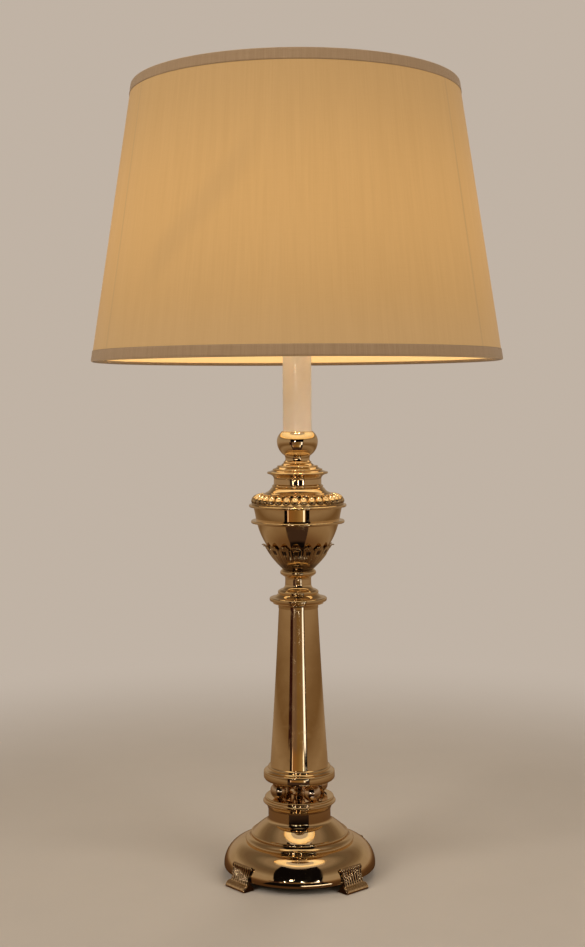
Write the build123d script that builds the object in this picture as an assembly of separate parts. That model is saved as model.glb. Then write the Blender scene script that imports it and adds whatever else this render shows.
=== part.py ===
"""Polished brass candlestick lamp with a drum-cone shade, in millimetres.

+Z is up, the origin is on the table under the lamp's axis, and -Y is the front.
Every turned piece is drawn as half an outline: points of (radius, height), where a
third number is the rise of the arc that ends there, outwards when it is positive.
"""

import os
from math import atan, cos, degrees, hypot, radians, sin, sqrt

from build123d import *

# Threaded rod that clamps the whole stem together
rod_r = 4.9
rod_bore_r = 3.3
rod_fit = 0.15
rod_hole_r = rod_r + rod_fit
rod_tail = 1.5
rod_head = 7.5

# Base: spun dome on four cast feet
dome_r = 85.3
dome_lift = 8.8
dome_rise = 28.0
dome_crown = 7.8
dome_wall = 1.3
rim_flange = 8.0
step_r = 60.3
step_bead = 3.2
deck_r = 55.2
deck_rise = 7.0
deck_lip = 0.7
felt_wall = 1.2
felt_r = 79.0

# Cast feet
foot_count = 4
foot_first_turn = 45.0
toe_reach = 95.5
toe_width = 32.7
toe_tip = 1.4
toe_rise = 6.2
toe_depth = 4.9
foot_waist = 27.0
foot_inner_r = 80.0
scroll_r = 2.6
scroll_width = 30.0
scroll_angle = 27.0
scroll_stand_off = 1.2
scroll_eye_r = 1.2
scroll_eye_length = 0.6
reed_count = 9
reed_groove = 1.5
reed_depth = 1.1

# Screws that hold the feet, from inside the dome
foot_screw_r = 1.5
foot_screw_fit = 0.1
foot_screw_bite = 3.0
foot_screw_head_r = 2.8
foot_screw_head = 2.0
foot_screw_seat = 0.2

# Cast iron weight inside the dome
weight_r = 68.0
weight_lift = 9.2
weight_thickness = 13.0
weight_boss_r = 16.0
weight_edge = 2.0
cord_channel_width = 9.0
cord_channel_depth = 7.0

# Cord inlet at the back of the dome
inlet_lift = 6.4
inlet_bore_r = 3.4
inlet_barrel_r = 5.0
inlet_flange_r = 6.2
inlet_flange = 2.2
inlet_nose = 1.0
inlet_tail = 3.5
inlet_fit = 0.1

# Flared neck of the base and the dish on top of it
neck_foot_r = 54.6
neck_bead = 2.2
neck_flare_r = 53.0
neck_r = 35.1
neck_cove_rise = 15.2
neck_cove = 3.6
neck_height = 29.8
neck_wall = 1.3
dish_foot_r = 35.8
dish_r = 40.6
dish_lip_r = 38.4
dish_height = 13.3
dish_recess_r = 31.0
dish_recess = 1.3

# Gallery of four balls round a spindle
ball_count = 4
ball_r = 10.0
ball_circle_r = 26.2
gallery_turn = -10.4
tenon_r = 1.5
tenon_length = 2.0
tenon_fit = 0.1
spindle_r = 6.5
spindle_end_r = 9.0
spindle_end = 2.0
spindle_cove = 2.5

# Ring under the column
ring_foot_r = 36.0
ring_r = 40.1
ring_collar_r = 34.2
ring_height = 16.2
ring_wall = 4.0
ring_core_r = 26.5
spigot_height = 6.0
spigot_fit = 0.15
spigot_taper = 0.5

# Tapered column and the capital on it
column_foot_r = 32.6
column_top_r = 21.9
column_height = 177.8
column_waist = 0.5
column_wall = 1.5
capital_neck_r = 22.4
capital_lower_r = 28.0
capital_r = 32.0
capital_bead_r = 21.9
capital_height = 20.8
capital_core_r = 14.0
capital_core_top = 4.0

# Spool between capital and urn
spool_foot_r = 19.3
spool_waist_r = 14.5
spool_ring_r = 18.9
spool_height = 23.2

# Urn: bowl in a calyx of leaves, with two rings round its band
bowl_foot_r = 15.8
bowl_swell_r = 37.6
bowl_swell_rise = 28.2
bowl_swell = 1.6
bowl_belly_r = 45.4
bowl_belly_rise = 47.8
bowl_ring_r = 52.3
bowl_band_r = 46.7
bowl_band_rise = 52.0
bowl_rim_band_r = 49.5
bowl_rim_r = 54.5
bowl_height = 69.8
bowl_ring = 3.0
bowl_wall = 1.6
bowl_floor = 2.4

# Leaf calyx
leaf_count = 16
calyx_foot_r = 17.8
calyx_floor = 2.6
calyx_wall = 1.5
calyx_rise = 24.6
leaf_tip_r = 40.4
leaf_curl = 5.0
leaf_tip = 1.0
leaf_fit = 0.05
leaf_notch = 10.8
leaf_notch_foot = 0.9
leaf_notch_depth = 10.5

# Beaded ring
bead_count = 32
bead_circle_r = 46.0
bead_r = 4.3
bead_half_length = 6.8
bead_slope = 36.0
bead_rise = 5.85
bead_ring_inner_r = 38.0
bead_ring_r = 51.4
bead_ring_edge = 1.2
bead_ring_height = 10.2

# Stepped cover of the urn
cover_spigot = 8.0
cover_spigot_fit = 0.15
cover_flange_r = 39.2
cover_waist_r = 26.6
cover_collar_r = 33.9
cover_step_r = 27.4
cover_top_step_r = 22.4
cover_bead_r = 15.1
cover_height = 38.2
cover_core_r = 21.0
cover_core_height = 18.0

# Candle cup
cup_foot_r = 13.9
cup_throat_r = 14.4
cup_throat_rise = 5.6
cup_r = 22.9
cup_belly_rise = 21.2
cup_lip_r = 17.8
cup_height = 32.6
cup_recess = 13.0

# Candle
candle_r = 15.875
candle_wall = 1.6
candle_fit = 0.1
candle_length = 141.0
candle_cap_r = 17.0
candle_cap_wall = 2.0
candle_cap_spigot = 3.0

# Nuts and washer on the rod
washer_r = 12.0
washer_wall = 1.6
nut_across_flats = 16.0
nut_height = 4.0
cup_nut_across_flats = 14.0

# Harp, its saddle and sleeves
saddle_half = 22.0
saddle_width = 11.0
saddle_wall = 1.2
saddle_horn = 8.6
tongue_width = 3.6
tongue_height = 6.0
harp_height = 227.0
harp_wire_r = 1.6
harp_leg = 33.0
harp_half_width = 57.0
harp_swell_low = 70.0
harp_swell_high = 134.0
harp_shoulder_half = 30.0
harp_shoulder_drop = 17.0
harp_top_half = 7.0
harp_bend_r = 26.0
harp_top_bend_r = 9.0
harp_plate_r = 7.0
harp_plate = 3.4
stud_r = 3.17
stud_fit = 0.08
stud_length = 14.0
sleeve_r = 3.4
sleeve_wall = 1.2
sleeve_length = 14.0
moving_gap = 0.1

# Socket and its turn-knob switch
hub_r = 7.2
hub_height = 6.0
cap_r = 17.5
cap_height = 24.0
cap_crown = 3.0
cap_wall = 0.6
shell_fit = 0.1
shell_wall = 0.5
shell_overlap = 4.0
shell_height = 49.0
shell_bead_r = 0.8
liner_fit = 0.1
liner_wall = 0.6
liner_short = 2.0
core_fit = 0.1
core_height = 13.0
screw_shell_r = 14.3
screw_shell_wall = 0.6
screw_shell_height = 27.0
contact_r = 4.0
contact_height = 1.2
switch_rise = 6.0
switch_shaft_r = 2.0
switch_shaft_fit = 0.06
switch_hole_r = 2.8
switch_shaft_bite = 9.0
switch_knob_r = 5.4
switch_knob_length = 15.0
switch_knob_gap = 2.0
switch_flutes = 12
switch_flute_r = 0.7

# Bulb
bulb_base_r = 13.1
bulb_base_height = 24.0
bulb_base_wall = 0.8
bulb_tip_r = 4.6
bulb_tip = 2.0
bulb_neck_r = 12.2
bulb_r = 30.0
bulb_neck_in = 2.0
bulb_neck_rise = 10.0
bulb_belly_rise = 55.0
bulb_swell = 3.6
bulb_wall = 0.9
bulb_seat = 0.4

# Shade: outer sizes over the trim
shade_bottom_z = 574.1
shade_height = 300.8
shade_bottom_r = 226.6
shade_top_r = 179.5
cover_cloth = 1.0
trim_width = 12.0
trim_turn = 10.0
trim_cloth = 0.6
trim_fit = 0.1
wire_r = 1.5
strut_count = 3
strut_r = 1.2
strut_turn = 92.0
strut_slot = 3.6
arm_r = 1.2
arm_seat = 9.0
arm_rise_run = 26.0
arm_bend_r = 6.0
hub_washer_r = 9.5
hub_washer = 1.6

# Finial
finial_foot_r = 7.0
finial_neck_r = 4.4
finial_ball_r = 8.0
finial_tip_r = 2.4
finial_tip = 7.0
finial_point_r = 0.8
finial_height = 32.0
finial_socket = 15.0

# Heights of the stacked pieces, from the table up
shoulder_z = dome_lift + dome_rise
deck_z = shoulder_z + deck_rise
weight_z = dome_lift + weight_lift
dish_z = deck_z + neck_height
gallery_z = dish_z + dish_height - dish_recess
ring_z = gallery_z + 2 * ball_r
column_z = ring_z + ring_height
capital_z = column_z + column_height
spool_z = capital_z + capital_height
calyx_z = spool_z + spool_height
bowl_z = calyx_z + calyx_floor
bead_ring_z = bowl_z + bowl_height
cover_z = bead_ring_z + bead_ring_height
cup_z = cover_z + cover_height
cup_floor_z = cup_z + cup_height - cup_recess
candle_top_z = cup_floor_z + candle_length
saddle_z = candle_top_z + candle_cap_wall
socket_z = saddle_z + saddle_wall
tongue_z = socket_z + saddle_horn
leg_z = tongue_z + tongue_height
harp_top_z = saddle_z + harp_height
spider_z = harp_top_z + moving_gap
finial_z = spider_z + hub_washer + moving_gap
shell_z = socket_z + cap_height - shell_overlap
shell_r = cap_r - cap_wall - shell_fit
liner_r = shell_r - shell_wall - liner_fit
core_r = liner_r - liner_wall - core_fit
core_z = shell_z + shell_overlap
screw_shell_z = core_z + core_height
switch_z = core_z + switch_rise
bulb_z = screw_shell_z + contact_height + bulb_seat
shade_top_z = shade_bottom_z + shade_height

# Rise of a quarter circle's arc, as a share of its radius
round_share = 1 - cos(radians(45))


def outline(points):
    """Closed face in the radius-height plane, from points with an optional arc rise."""
    edges = []
    start = points[0]
    for point in points[1:] + points[:1]:
        rise = point[2] if len(point) > 2 else 0
        if rise:
            edges.append(SagittaArc(start[:2], point[:2], -rise))
        elif start[:2] != point[:2]:
            edges.append(Line(start[:2], point[:2]))
        start = point
    return make_face(Plane.XZ * Curve(edges))


def turned(points):
    """Solid that a lathe makes of a closed half outline."""
    return revolve(outline(points), Axis.Z)


def bored(points, z, top, hole_r=rod_hole_r):
    """Turned solid between two heights, closed by the hole along its axis."""
    return turned([(hole_r, z), *points, (hole_r, top)])


def drum(radius, low, high):
    """Plain round bar along the lamp's axis."""
    return Pos(0, 0, (low + high) / 2) * Cylinder(radius, high - low)


def tube(outer_r, inner_r, low, high):
    """Plain tube along the lamp's axis."""
    return drum(outer_r, low, high) - drum(inner_r, low, high)


def around(count, first=0.0):
    """Turns about the lamp's axis that space a number of copies evenly."""
    return [Rot(0, 0, first + 360 * index / count) for index in range(count)]


def hex_nut(across_flats, low, height):
    """Hexagon nut on the rod."""
    blank = extrude(RegularPolygon(across_flats / 2, 6, major_radius=False), height)
    return Pos(0, 0, low) * blank - drum(rod_hole_r, low, low + height)


# Base


def dome_solid(inset=0.0, base=dome_lift):
    """The dome filled in, or the space inside it when inset by the wall."""
    return turned([
        (0, base),
        (dome_r - inset, base),
        (step_r - inset, shoulder_z - inset, dome_crown - 0.3 * inset),
        (step_r - inset, shoulder_z + step_bead - inset, 0.7),
        (deck_r - inset, deck_z - deck_lip - inset, -0.8),
        (deck_r - inset, deck_z - inset),
        (0, deck_z - inset),
    ])


def dome_arc():
    """Centre radius, centre height and radius of the dome's arc in section."""
    run = dome_r - step_r
    chord = hypot(run, dome_rise)
    radius = chord**2 / (8 * dome_crown) + dome_crown / 2
    back = radius - dome_crown
    middle_r = (dome_r + step_r) / 2 - back * dome_rise / chord
    middle_z = dome_lift + dome_rise / 2 - back * run / chord
    return middle_r, middle_z, radius


def on_dome(distance):
    """Radius and height of a point on the feet's screw line, out from the dome's skin."""
    middle_r, middle_z, radius = dome_arc()
    reach = radius + distance
    return (
        middle_r + reach * cos(radians(scroll_angle)),
        middle_z + reach * sin(radians(scroll_angle)),
    )


def along_screw(radius, start, end):
    """Round bar along one foot's screw line, between two distances from the skin."""
    r, z = on_dome((start + end) / 2)
    return Pos(r, 0, z) * Rot(0, 90 - scroll_angle, 0) * Cylinder(radius, end - start)


def base_dome():
    """Spun shell with a rolled-in rim, a stepped shoulder and a flat deck."""
    inner = dome_solid(dome_wall, dome_lift + dome_wall)
    mouth = drum(dome_r - dome_wall - rim_flange, dome_lift, dome_lift + dome_wall)
    shell = dome_solid() - inner - mouth - drum(rod_hole_r, shoulder_z, deck_z)
    hole = along_screw(foot_screw_r + 2 * foot_screw_fit, -3 * dome_wall, dome_wall)
    for turn in around(foot_count, foot_first_turn):
        shell -= turn * hole
    return shell - inlet_bar(inlet_barrel_r + inlet_fit, inlet_tail, inlet_flange)


def foot_side():
    """Side view of a foot: flared toe, hollow face and the block behind them."""
    scroll_x, scroll_z = on_dome(scroll_stand_off)
    ridge_r = toe_reach - toe_depth
    return outline([
        (foot_inner_r, 0),
        (toe_reach, 0),
        (toe_reach, toe_tip),
        (ridge_r, toe_rise, -0.8),
        (scroll_x + 0.5 * scroll_r, scroll_z - 0.8 * scroll_r, -1.0),
        (scroll_x, scroll_z),
        (foot_inner_r, scroll_z),
    ])


def foot_front():
    """Front view of a foot, waisted between the toe and the scroll."""
    scroll_z = on_dome(scroll_stand_off)[1]
    top = scroll_z + scroll_r
    flare_z = scroll_z - 1.5 * scroll_r
    half_toe, half_waist, half_top = toe_width / 2, foot_waist / 2, scroll_width / 2
    right = Curve([
        Line((0, 0), (half_toe, 0)),
        SagittaArc((half_toe, 0), (half_waist, toe_rise), 0.5),
        SagittaArc((half_waist, toe_rise), (half_top - 1, flare_z), 0.8),
        Line((half_top - 1, flare_z), (half_top - 1, top)),
        Line((half_top - 1, top), (0, top)),
        Line((0, top), (0, 0)),
    ])
    half = make_face(Plane.YZ * right)
    return half + mirror(half, Plane.XZ)


def reed_cutter():
    """Thin curved band that cuts one groove into the hollow face of a foot."""
    scroll_x, scroll_z = on_dome(scroll_stand_off)
    low_r, high_r = toe_reach - toe_depth, scroll_x + 0.5 * scroll_r
    low_z, high_z = toe_rise + 0.4, scroll_z - 0.9 * scroll_r
    band = outline([
        (low_r - reed_depth, low_z),
        (low_r + 1, low_z),
        (high_r + 1, high_z, -1.0),
        (high_r - reed_depth, high_z),
    ])
    return extrude(band, reed_groove / 2, both=True)


def foot():
    """One cast foot, pointing along +X."""
    block = extrude(foot_side(), scroll_width, both=True)
    block &= extrude(foot_front(), 2 * toe_reach)
    pitch = foot_waist / (reed_count + 0.5)
    groove = reed_cutter()
    for index in range(reed_count):
        block -= Pos(0, (index - (reed_count - 1) / 2) * pitch, 0) * groove
    scroll_x, scroll_z = on_dome(scroll_stand_off)
    seat = Pos(scroll_x, 0, scroll_z) * Rot(90, 0, 0)
    block += seat * Cylinder(scroll_r, scroll_width)
    block += seat * Cylinder(scroll_eye_r, scroll_width + 2 * scroll_eye_length)
    block -= dome_solid()
    return block - along_screw(foot_screw_r + foot_screw_fit, -1, foot_screw_bite + 0.2)


def foot_screws():
    """Pan-head screws from inside the dome into the feet."""
    under_head = -dome_wall - foot_screw_seat
    screw = along_screw(foot_screw_r, under_head, foot_screw_bite)
    screw += along_screw(foot_screw_head_r, under_head - foot_screw_head, under_head)
    return Compound([turn * screw for turn in around(foot_count, foot_first_turn)])


def base_weight():
    """Cast iron disc with a boss up to the deck and a channel for the cord."""
    top = weight_z + weight_thickness
    under_deck = deck_z - dome_wall
    weight = bored([
        (weight_r, weight_z),
        (weight_r, top - weight_edge),
        (weight_r - weight_edge, top),
        (weight_boss_r, top),
        (weight_boss_r, under_deck),
    ], weight_z, under_deck)
    channel = Box(cord_channel_width, weight_r, cord_channel_depth)
    middle = washer_r + weight_r / 2
    return weight - Pos(0, middle, weight_z + cord_channel_depth / 2) * channel


def base_felt():
    """Felt disc glued under the rolled-in rim."""
    return drum(felt_r, dome_lift - felt_wall, dome_lift)


def inlet_bar(radius, inside, outside):
    """Round bar through the back of the dome, along the cord inlet."""
    middle_r, middle_z, arc_r = dome_arc()
    skin = middle_r + sqrt(arc_r**2 - (dome_lift + inlet_lift - middle_z) ** 2)
    low, high = skin - dome_wall - inside, skin + outside
    place = Pos(0, (low + high) / 2, dome_lift + inlet_lift) * Rot(90, 0, 0)
    return place * Cylinder(radius, high - low)


def cord_inlet():
    """Moulded bushing whose flange follows the dome."""
    bushing = inlet_bar(inlet_flange_r, 0, inlet_flange) - dome_solid()
    bushing += inlet_bar(inlet_barrel_r, inlet_tail, inlet_flange + inlet_nose)
    return bushing - inlet_bar(inlet_bore_r, inlet_tail + 1, inlet_flange + inlet_nose + 1)


def neck_solid(inset=0.0):
    """The flared neck filled in, or the space inside it when inset by the wall."""
    bead_z = deck_z + neck_bead - inset
    return turned([
        (0, deck_z),
        (neck_foot_r - inset, deck_z),
        (neck_foot_r - inset, bead_z, 0.4),
        (neck_flare_r - inset, bead_z + 0.4),
        (neck_r + 1.7 - inset, deck_z + neck_cove_rise - inset, 0.7),
        (neck_r - inset, deck_z + neck_cove_rise + neck_cove - inset, -0.4),
        (neck_r - inset, dish_z - inset),
        (0, dish_z - inset),
    ])


def base_neck():
    """Spun flare and straight neck between the dome and the dish."""
    return neck_solid() - neck_solid(neck_wall) - drum(rod_hole_r, deck_z, dish_z)


# Gallery


def tenon_holes():
    """Blind holes for the balls' tenons in the dish and in the ring above."""
    middle = gallery_z + ball_r
    pin = Cylinder(tenon_r + tenon_fit, 2 * (ball_r + tenon_length + 2 * tenon_fit))
    hole = Pos(ball_circle_r, 0, middle) * pin
    return [turn * hole for turn in around(ball_count, foot_first_turn + gallery_turn)]


def gallery_dish():
    """Turned dish with a raised lip; the balls stand in its recess."""
    lip_z = dish_z + dish_height
    dish = bored([
        (dish_foot_r, dish_z),
        (dish_foot_r + 0.4, dish_z + 1.6),
        (dish_r, dish_z + 6.8, -0.6),
        (dish_r, dish_z + 8.4, 0.3),
        (dish_lip_r, dish_z + 10.6, -0.6),
        (dish_lip_r - 0.8, lip_z, 0.8),
        (dish_recess_r, lip_z),
        (dish_recess_r, gallery_z),
    ], dish_z, gallery_z)
    for hole in tenon_holes():
        dish -= hole
    return dish


def gallery_spindle():
    """Turned spacer round the rod, between the dish and the ring."""
    return bored([
        (spindle_end_r, gallery_z),
        (spindle_end_r, gallery_z + spindle_end),
        (spindle_r, gallery_z + spindle_end + spindle_cove, -0.5),
        (spindle_r, ring_z - spindle_end - spindle_cove),
        (spindle_end_r, ring_z - spindle_end, -0.5),
        (spindle_end_r, ring_z),
    ], gallery_z, ring_z)


def gallery_ball(turn):
    """Turned ball with a tenon above and below."""
    ball = Sphere(ball_r) + Cylinder(tenon_r, 2 * (ball_r + tenon_length))
    return turn * Pos(ball_circle_r, 0, gallery_z + ball_r) * ball


def column_base_ring():
    """Round moulding under the column, cored out, with a spigot for the column."""
    spigot_r = column_foot_r - column_wall - spigot_fit
    top = column_z + spigot_height
    ring = bored([
        (ring_foot_r, ring_z),
        (ring_r, ring_z + 3.8, 1.3),
        (ring_r - 0.2, ring_z + 8.4, 0.1),
        (ring_r - 1.2, ring_z + 10.6, 0.5),
        (ring_collar_r, ring_z + 12.8, -0.7),
        (ring_collar_r, ring_z + 15.8, 1.0),
        (ring_collar_r - 0.6, column_z),
        (spigot_r, column_z),
        (spigot_r - spigot_taper, top),
        (ring_core_r, top),
        (ring_core_r, ring_z + ring_wall),
    ], ring_z, ring_z + ring_wall)
    for hole in tenon_holes():
        ring -= hole
    return ring


# Column and spool


def column():
    """Tapered tube with a slight waist."""
    outside = [
        (0, column_z),
        (column_foot_r, column_z),
        (column_top_r, capital_z, -column_waist),
        (0, capital_z),
    ]
    inside = [
        (0, column_z),
        (column_foot_r - column_wall, column_z),
        (column_top_r - column_wall, capital_z, -column_waist),
        (0, capital_z),
    ]
    return turned(outside) - turned(inside)


def column_capital():
    """Stepped collar on the column, with a spigot down into it."""
    z = capital_z
    spigot_r = column_top_r - column_wall - spigot_fit
    capital = bored([
        (spigot_r, z - spigot_height),
        (spigot_r, z),
        (capital_neck_r, z),
        (capital_neck_r, z + 3.0),
        (capital_lower_r, z + 5.0, -0.5),
        (capital_lower_r, z + 6.4, 0.3),
        (capital_r - 2.0, z + 7.4, -0.3),
        (capital_r, z + 9.6, 0.7),
        (capital_r - 1.4, z + 12.0, 0.7),
        (capital_bead_r + 1.2, z + 15.4, -0.9),
        (capital_bead_r, z + 16.2),
        (capital_bead_r, z + 19.6, 0.9),
        (spool_foot_r + 0.6, z + capital_height),
    ], z - spigot_height, z + capital_height)
    core_top = z + capital_height - capital_core_top
    return capital - drum(capital_core_r, z - spigot_height, core_top)


def neck_spool():
    """Waisted spool that carries the urn."""
    z = spool_z
    return bored([
        (spool_foot_r, z),
        (spool_waist_r + 0.2, z + 6.2, -1.4),
        (spool_waist_r, z + 11.4),
        (spool_ring_r - 2.0, z + 15.2, -0.8),
        (spool_ring_r, z + 16.6),
        (spool_ring_r, z + 21.4, 1.2),
        (calyx_foot_r - 0.6, z + spool_height),
    ], z, z + spool_height)


# Urn


def bowl_outside(grow=0.0):
    """Outer half outline of the bowl, grown for what fits round it."""
    z = bowl_z
    ring_z_low = z + bowl_belly_rise + 1.0
    rim_z_low = z + bowl_height - bowl_ring
    return [
        (0, z - grow),
        (bowl_foot_r + grow, z - grow),
        (bowl_swell_r + grow, z + bowl_swell_rise - grow, bowl_swell),
        (bowl_belly_r + grow, z + bowl_belly_rise, 0.7),
        (bowl_ring_r - 0.8, ring_z_low, -0.3),
        (bowl_ring_r - 0.8, ring_z_low + bowl_ring, 0.8),
        (bowl_band_r, z + bowl_band_rise),
        (bowl_rim_band_r, rim_z_low - 0.4, -0.3),
        (bowl_rim_r - 0.8, rim_z_low),
        (bowl_rim_r - 0.8, rim_z_low + bowl_ring - 0.2, 0.8),
        (bowl_rim_r - 3.0, z + bowl_height),
        (0, z + bowl_height),
    ]


def bowl_inside():
    """Smooth half outline of the space inside the bowl."""
    z = bowl_z
    floor = z + bowl_floor
    return [
        (0, floor),
        (bowl_foot_r, floor),
        (bowl_swell_r - bowl_wall, z + bowl_swell_rise, bowl_swell),
        (bowl_belly_r - bowl_wall, z + bowl_belly_rise, 0.7),
        (bowl_rim_band_r - bowl_wall, z + bowl_height),
        (0, z + bowl_height),
    ]


def urn_bowl():
    """Bowl with a thin ring at the belly and another at the rim."""
    bowl = turned(bowl_outside()) - turned(bowl_inside())
    return bowl - drum(rod_hole_r, bowl_z, bowl_z + bowl_floor)


def leaf_notch_cutter():
    """Wedge between two leaf tips, cut outwards along +X."""
    top = calyx_z + calyx_rise + leaf_curl + leaf_tip
    low = top - leaf_notch_depth
    half_top, half_low = leaf_notch / 2, leaf_notch_foot / 2
    wedge = Polyline(
        (-half_top, top), (-half_low, low), (half_low, low), (half_top, top), close=True
    )
    face = make_face(Plane.YZ * wedge)
    return Pos(bowl_foot_r, 0, 0) * extrude(face, leaf_tip_r)


def leaf_calyx():
    """Cup of leaves round the bottom of the bowl, their tips curled outwards."""
    z = calyx_z
    tip_z = z + calyx_rise + leaf_curl
    root_r = bowl_swell_r + calyx_wall - 2.6
    cup = bored([
        (calyx_foot_r, z),
        (calyx_foot_r + 0.4, z + 1.2),
        (root_r, z + calyx_rise, bowl_swell),
        (leaf_tip_r, tip_z, -0.9),
        (leaf_tip_r - 1.2, tip_z + leaf_tip, 0.4),
        (root_r - 0.4, z + calyx_rise + 1.6, 0.8),
        (bowl_foot_r, z + calyx_floor + calyx_rise),
    ], z, z + calyx_floor + calyx_rise)
    cup -= turned(bowl_outside(leaf_fit))
    notch = leaf_notch_cutter()
    for turn in around(leaf_count, 180 / leaf_count):
        cup -= turn * notch
    return cup


def bead():
    """One long bead with round ends, lying down the slope of its ring."""
    straight = bead_half_length - bead_r
    egg = Rot(0, 90, 0) * Cylinder(bead_r, 2 * straight)
    for end in (-straight, straight):
        egg += Pos(end, 0, 0) * Sphere(bead_r)
    place = Pos(bead_circle_r, 0, bead_ring_z + bead_rise)
    return place * Rot(0, bead_slope, 0) * egg


def bead_ring():
    """Cast ring of beads on the bowl's rim."""
    z = bead_ring_z
    ring = turned([
        (bead_ring_inner_r, z),
        (bead_ring_r, z),
        (bead_ring_r, z + bead_ring_edge),
        (bead_ring_inner_r, z + bead_ring_height),
    ])
    first = bead()
    return ring.fuse(*[turn * first for turn in around(bead_count)])


def urn_cover():
    """Stepped cover that closes the urn, with a spigot in the bead ring."""
    z = cover_z
    spigot_r = bead_ring_inner_r - cover_spigot_fit
    cover = bored([
        (spigot_r, z - cover_spigot),
        (spigot_r, z),
        (cover_flange_r, z),
        (cover_flange_r, z + 1.2),
        (cover_flange_r - 3.8, z + 2.8, -0.3),
        (cover_waist_r + 3.4, z + 7.4, -0.7),
        (cover_waist_r + 1.4, z + 9.0),
        (cover_waist_r + 1.4, z + 10.8, 0.6),
        (cover_waist_r, z + 12.2),
        (cover_waist_r, z + 16.8),
        (cover_waist_r + 1.6, z + 21.4, -0.6),
        (cover_collar_r - 0.7, z + 23.6, -0.3),
        (cover_collar_r - 0.6, z + 25.8, 0.7),
        (cover_step_r, z + 27.8, -0.3),
        (cover_step_r, z + 29.0, 0.3),
        (cover_top_step_r, z + 31.4, -0.3),
        (cover_top_step_r, z + 32.6, 0.3),
        (cover_bead_r + 1.4, z + cover_height - 3.2, -0.8),
        (cover_bead_r, z + cover_height - 2.8),
        (cover_bead_r, z + cover_height - 1.0, 0.6),
        (cup_foot_r, z + cover_height),
    ], z - cover_spigot, z + cover_height)
    return cover - drum(cover_core_r, z - cover_spigot, z + cover_core_height)


# Candle


def candle_cup():
    """Turned knob that holds the candle, on a narrow neck."""
    z = cup_z
    top = z + cup_height
    recess_r = candle_r + candle_fit
    return bored([
        (cup_foot_r, z),
        (cup_throat_r, z + cup_throat_rise, -0.5),
        (cup_r, z + cup_belly_rise, 2.2),
        (cup_lip_r, top - 0.8, 1.4),
        (cup_lip_r - 0.5, top, 0.3),
        (recess_r, top),
        (recess_r, cup_floor_z),
    ], z, cup_floor_z)


def candle_cap():
    """Brass disc that closes the top of the candle."""
    spigot_r = candle_r - candle_wall - candle_fit
    return bored([
        (spigot_r, candle_top_z - candle_cap_spigot),
        (spigot_r, candle_top_z),
        (candle_cap_r, candle_top_z),
        (candle_cap_r, saddle_z - 0.4),
        (candle_cap_r - 0.4, saddle_z),
    ], candle_top_z - candle_cap_spigot, saddle_z)


def centre_rod():
    """Hollow threaded rod from the base nut to the socket."""
    low = weight_z - washer_wall - nut_height - rod_tail
    return tube(rod_r, rod_bore_r, low, socket_z + rod_head)


# Harp


def tongue_x():
    """Distance of the saddle's tongues, and of the harp's legs, from the axis."""
    return saddle_half - saddle_wall / 2


def harp_saddle():
    """Bent strap under the socket, narrowed to a tongue at each end."""
    side = Polyline(
        (-saddle_half, saddle_z),
        (saddle_half, saddle_z),
        (saddle_half, tongue_z),
        (saddle_half - saddle_wall, tongue_z),
        (saddle_half - saddle_wall, socket_z),
        (-saddle_half + saddle_wall, socket_z),
        (-saddle_half + saddle_wall, tongue_z),
        (-saddle_half, tongue_z),
        close=True,
    )
    saddle = extrude(make_face(Plane.XZ * side), saddle_width / 2, both=True)
    for side_x in (-tongue_x(), tongue_x()):
        place = Pos(side_x, 0, (tongue_z + leg_z) / 2)
        saddle += place * Box(saddle_wall, tongue_width, tongue_height)
    return saddle - drum(rod_hole_r, saddle_z, socket_z)


def harp():
    """Bent wire with a seat plate and a threaded stud at the top."""
    wire_z = harp_top_z - harp_plate / 2
    right = [
        (harp_top_half, wire_z),
        (harp_shoulder_half, harp_top_z - harp_shoulder_drop),
        (harp_half_width, leg_z + harp_swell_high),
        (harp_half_width, leg_z + harp_swell_low),
        (tongue_x(), leg_z + harp_leg),
        (tongue_x(), leg_z),
    ]
    left = [(-x, z) for x, z in reversed(right)]
    bends = 4 * [harp_bend_r] + 2 * [harp_top_bend_r] + 4 * [harp_bend_r]
    path = Plane.XZ * FilletPolyline(*left, *right, radius=bends)
    wire = sweep(Pos(-tongue_x(), 0, leg_z) * Circle(harp_wire_r), path)
    wire += drum(harp_plate_r, harp_top_z - harp_plate, harp_top_z)
    return wire + drum(stud_r, harp_top_z - harp_plate, harp_top_z + stud_length)


def harp_sleeve(side):
    """Sleeve that locks a harp leg to the saddle's tongue."""
    sleeve = tube(sleeve_r, sleeve_r - sleeve_wall, tongue_z, tongue_z + sleeve_length)
    return Pos(side * tongue_x(), 0, 0) * fillet(sleeve.edges().group_by(Axis.Z)[-1], 0.4)


# Socket


def cap_solid(inset=0.0):
    """The socket's bell-shaped cap filled in, or the space inside it."""
    z = socket_z + inset
    return turned([
        (0, z),
        (hub_r - inset, z),
        (hub_r - inset, socket_z + hub_height),
        (cap_r - inset, socket_z + hub_height + 10.0, cap_crown),
        (cap_r - inset, socket_z + cap_height),
        (0, socket_z + cap_height),
    ])


def socket_cap():
    """Brass cap on the rod's top end."""
    return cap_solid() - cap_solid(cap_wall) - drum(rod_hole_r, socket_z, shell_z)


def switch_bar(radius, near, far):
    """Round bar along the switch's axis, between two distances in front of the lamp."""
    place = Pos(0, -(near + far) / 2, switch_z) * Rot(90, 0, 0)
    return place * Cylinder(radius, far - near)


def socket_shell():
    """Brass shell with a rolled lip and a hole for the switch."""
    top = shell_z + shell_height
    shell = tube(shell_r, shell_r - shell_wall, shell_z, top)
    lip = Pos(0, 0, top) * Torus(shell_r - shell_wall / 2, shell_bead_r)
    return shell + lip - switch_bar(switch_hole_r, 0, 2 * shell_r)


def socket_liner():
    """Insulating sleeve inside the shell."""
    top = shell_z + shell_height - liner_short
    liner = tube(liner_r, liner_r - liner_wall, core_z, top)
    return liner - switch_bar(switch_hole_r, 0, 2 * shell_r)


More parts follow.
